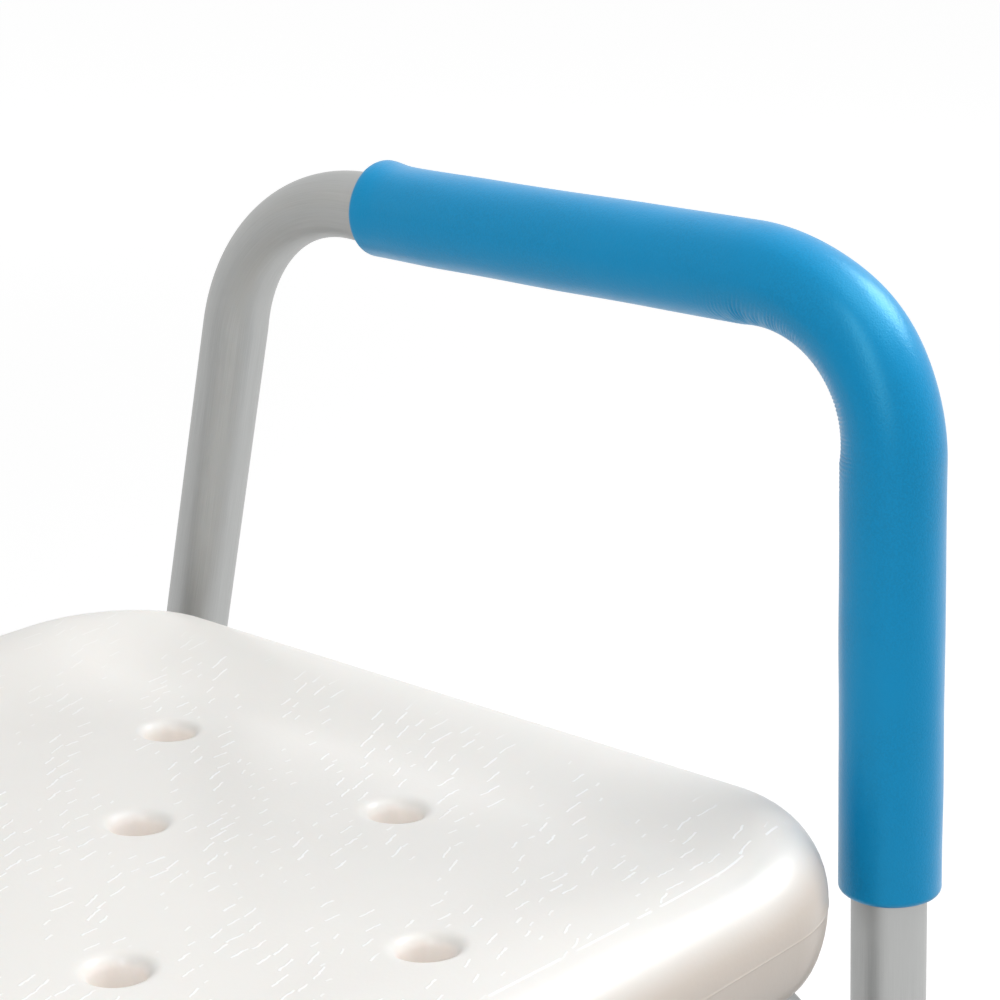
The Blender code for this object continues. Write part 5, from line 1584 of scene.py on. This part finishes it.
class CHAIR_OT_seat(Operator):
    """Adds the moulded seat, with its drain holes and the channels under it"""

    bl_idname = "bath_chair.seat"
    bl_label = "Seat"

    def execute(self, context):
        fitted(seat_piece(), "frame", "white_moulding", "seat")
        return {"FINISHED"}


class CHAIR_OT_leg_frames(Operator):
    """Adds the two bent leg frames"""

    bl_idname = "bath_chair.leg_frames"
    bl_label = "Leg frames"

    def execute(self, context):
        for end in ENDS:
            fitted(leg_frame_piece(end), "frame", "anodised_aluminium", f"{end}_leg_frame")
        return {"FINISHED"}


class CHAIR_OT_leg_extensions(Operator):
    """Adds the telescoping sleeves, their collars and rubber tips"""

    bl_idname = "bath_chair.leg_extensions"
    bl_label = "Leg extensions"

    def execute(self, context):
        for tag, end, side in CORNERS:
            axis = leg_axis(end, side)
            fitted(extension_piece(tag, axis), f"leg_{tag}", "anodised_aluminium", f"leg_extension_{tag}")
            fitted(collar_piece(tag, axis), f"leg_{tag}", "grey_nylon", f"leg_collar_{tag}")
            fitted(tip_piece(tag, axis), f"leg_{tag}", "grey_rubber", f"rubber_tip_{tag}")
        return {"FINISHED"}


class CHAIR_OT_snap_buttons(Operator):
    """Adds the snap buttons of the legs and the back, and the leaf springs behind them"""

    bl_idname = "bath_chair.snap_buttons"
    bl_label = "Snap buttons"

    def execute(self, context):
        f, b = chair().frame, chair().back
        legs = {tag: leg_button_place(end, side) for tag, end, side in CORNERS}
        for tag, place in legs.items():
            nib = nib_piece(f"nib_{tag}", place, leg_sizes()[1])
            fitted(nib, f"leg_button_{tag}", "bright_steel", f"leg_button_{tag}")
        leaves = set_out("leg_leaves", leaf_source(), list(legs.values()), finish("spring"))
        fitted(leaves, "frame", "spring_steel", *[f"leg_button_spring_{tag}" for tag in legs])
        backs = {name: back_button_place(side) for name, side in SIDES}
        for name, place in backs.items():
            nib = nib_piece(f"nib_back_{name}", place, f.tube_r + f.gap + b.socket_wall)
            fitted(nib, f"back_button_{name}", "bright_steel", f"back_button_{name}")
        leaves = set_out("back_leaves", leaf_source(), list(backs.values()), finish("spring"))
        fitted(leaves, "backrest", "spring_steel", *[f"back_button_spring_{name}" for name in backs])
        return {"FINISHED"}


class CHAIR_OT_arms(Operator):
    """Adds the bent arm tubes and the caps in their ends"""

    bl_idname = "bath_chair.arms"
    bl_label = "Arm tubes"

    def execute(self, context):
        for name, side in SIDES:
            fitted(arm_piece(name, side), "frame", "anodised_aluminium", f"arm_tube_{name}")
        fitted(arm_caps_piece(), "frame", "grey_nylon", *[f"arm_cap_{tag}" for tag, _, _ in CORNERS])
        return {"FINISHED"}


class CHAIR_OT_grips(Operator):
    """Adds the foam grips, creased inside their bends"""

    bl_idname = "bath_chair.grips"
    bl_label = "Foam grips"

    def execute(self, context):
        for name, side in SIDES:
            fitted(grip_piece(name, side), "frame", "blue_foam", f"arm_grip_{name}")
        return {"FINISHED"}


class CHAIR_OT_fastenings(Operator):
    """Adds the seat screws, the arm bolts with their nuts, and the spacers between arms and legs"""

    bl_idname = "bath_chair.fastenings"
    bl_label = "Fastenings"

    def execute(self, context):
        for end in ENDS:
            here = [corner for corner in CORNERS if corner[1] == end]
            fitted(seat_screws_piece(end), "frame", "bright_steel", *[f"seat_screw_{c[0]}" for c in here])
            fitted(arm_bolts_piece(end), "frame", "bright_steel", *[f"arm_bolt_{c[0]}" for c in here])
            fitted(arm_nuts_piece(end), "frame", "bright_steel", *[f"arm_nut_{c[0]}" for c in here])
            for corner in here:
                fitted(spacer_piece(*corner), "frame", "grey_nylon", f"arm_spacer_{corner[0]}")
        return {"FINISHED"}


class CHAIR_OT_back(Operator):
    """Adds the lift-off back and the sockets that carry it"""

    bl_idname = "bath_chair.back"
    bl_label = "Back"

    def execute(self, context):
        fitted(panel_piece(), "backrest", "white_moulding", "back_panel")
        fitted(panel_screws_piece(), "backrest", "bright_steel", "panel_screw_left", "panel_screw_right")
        for name, side in SIDES:
            fitted(back_tube_piece(name, side), "backrest", "anodised_aluminium", f"back_tube_{name}")
            fitted(socket_piece(name, side), "frame", "grey_nylon", f"back_socket_{name}")
        return {"FINISHED"}


class CHAIR_OT_stage(Operator):
    """Adds the floor, the lamps, the surroundings and the camera"""

    bl_idname = "bath_chair.stage"
    bl_label = "Stage"

    def execute(self, context):
        stage = chair().stage
        context.scene.view_settings.view_transform = "Standard"
        stage_floor()
        stage_world()
        soft_lamp("key", (1.63, -0.79, 1.97), (1.0, 1.2), stage.key_power)
        soft_lamp("front", (0.40, -1.13, 2.48), (1.6, 1.6), stage.front_power)
        soft_lamp("fill", (-1.67, -1.13, 1.70), (1.9, 0.35), stage.fill_power)
        stage_camera()
        return {"FINISHED"}


OPERATORS = (CHAIR_OT_seat, CHAIR_OT_leg_frames, CHAIR_OT_leg_extensions, CHAIR_OT_snap_buttons)
OPERATORS += (CHAIR_OT_arms, CHAIR_OT_grips, CHAIR_OT_fastenings, CHAIR_OT_back, CHAIR_OT_stage)


class CHAIR_PT_pieces(Panel):
    """Lists the chair's pieces, to be added one by one"""

    bl_idname = "CHAIR_PT_pieces"
    bl_label = "Bath chair"
    bl_space_type = "VIEW_3D"
    bl_region_type = "UI"
    bl_category = "Bath chair"

    def draw(self, context):
        for operator in OPERATORS:
            self.layout.operator(operator.bl_idname)
        for group in BathChair.__annotations__:
            column = self.layout.column(heading=group.capitalize())
            values = getattr(context.scene.bath_chair, group)
            for key in values.__annotations__:
                column.prop(values, key)


GROUPS = (ChairFrame, ChairSeat, ChairGrip, ChairLegParts, ChairBack, ChairFinishes, ChairStage, BathChair)
REGISTERED = GROUPS + OPERATORS + (CHAIR_PT_pieces,)


def register():
    for made in REGISTERED:
        bpy.utils.register_class(made)
    bpy.types.Scene.bath_chair = bpy.props.PointerProperty(type=BathChair)


def unregister():
    del bpy.types.Scene.bath_chair
    for made in reversed(REGISTERED):
        bpy.utils.unregister_class(made)


def main():
    register()
    for operator in OPERATORS:
        group, name = operator.bl_idname.split(".")
        getattr(getattr(bpy.ops, group), name)()


if __name__ == "__main__":
    main()
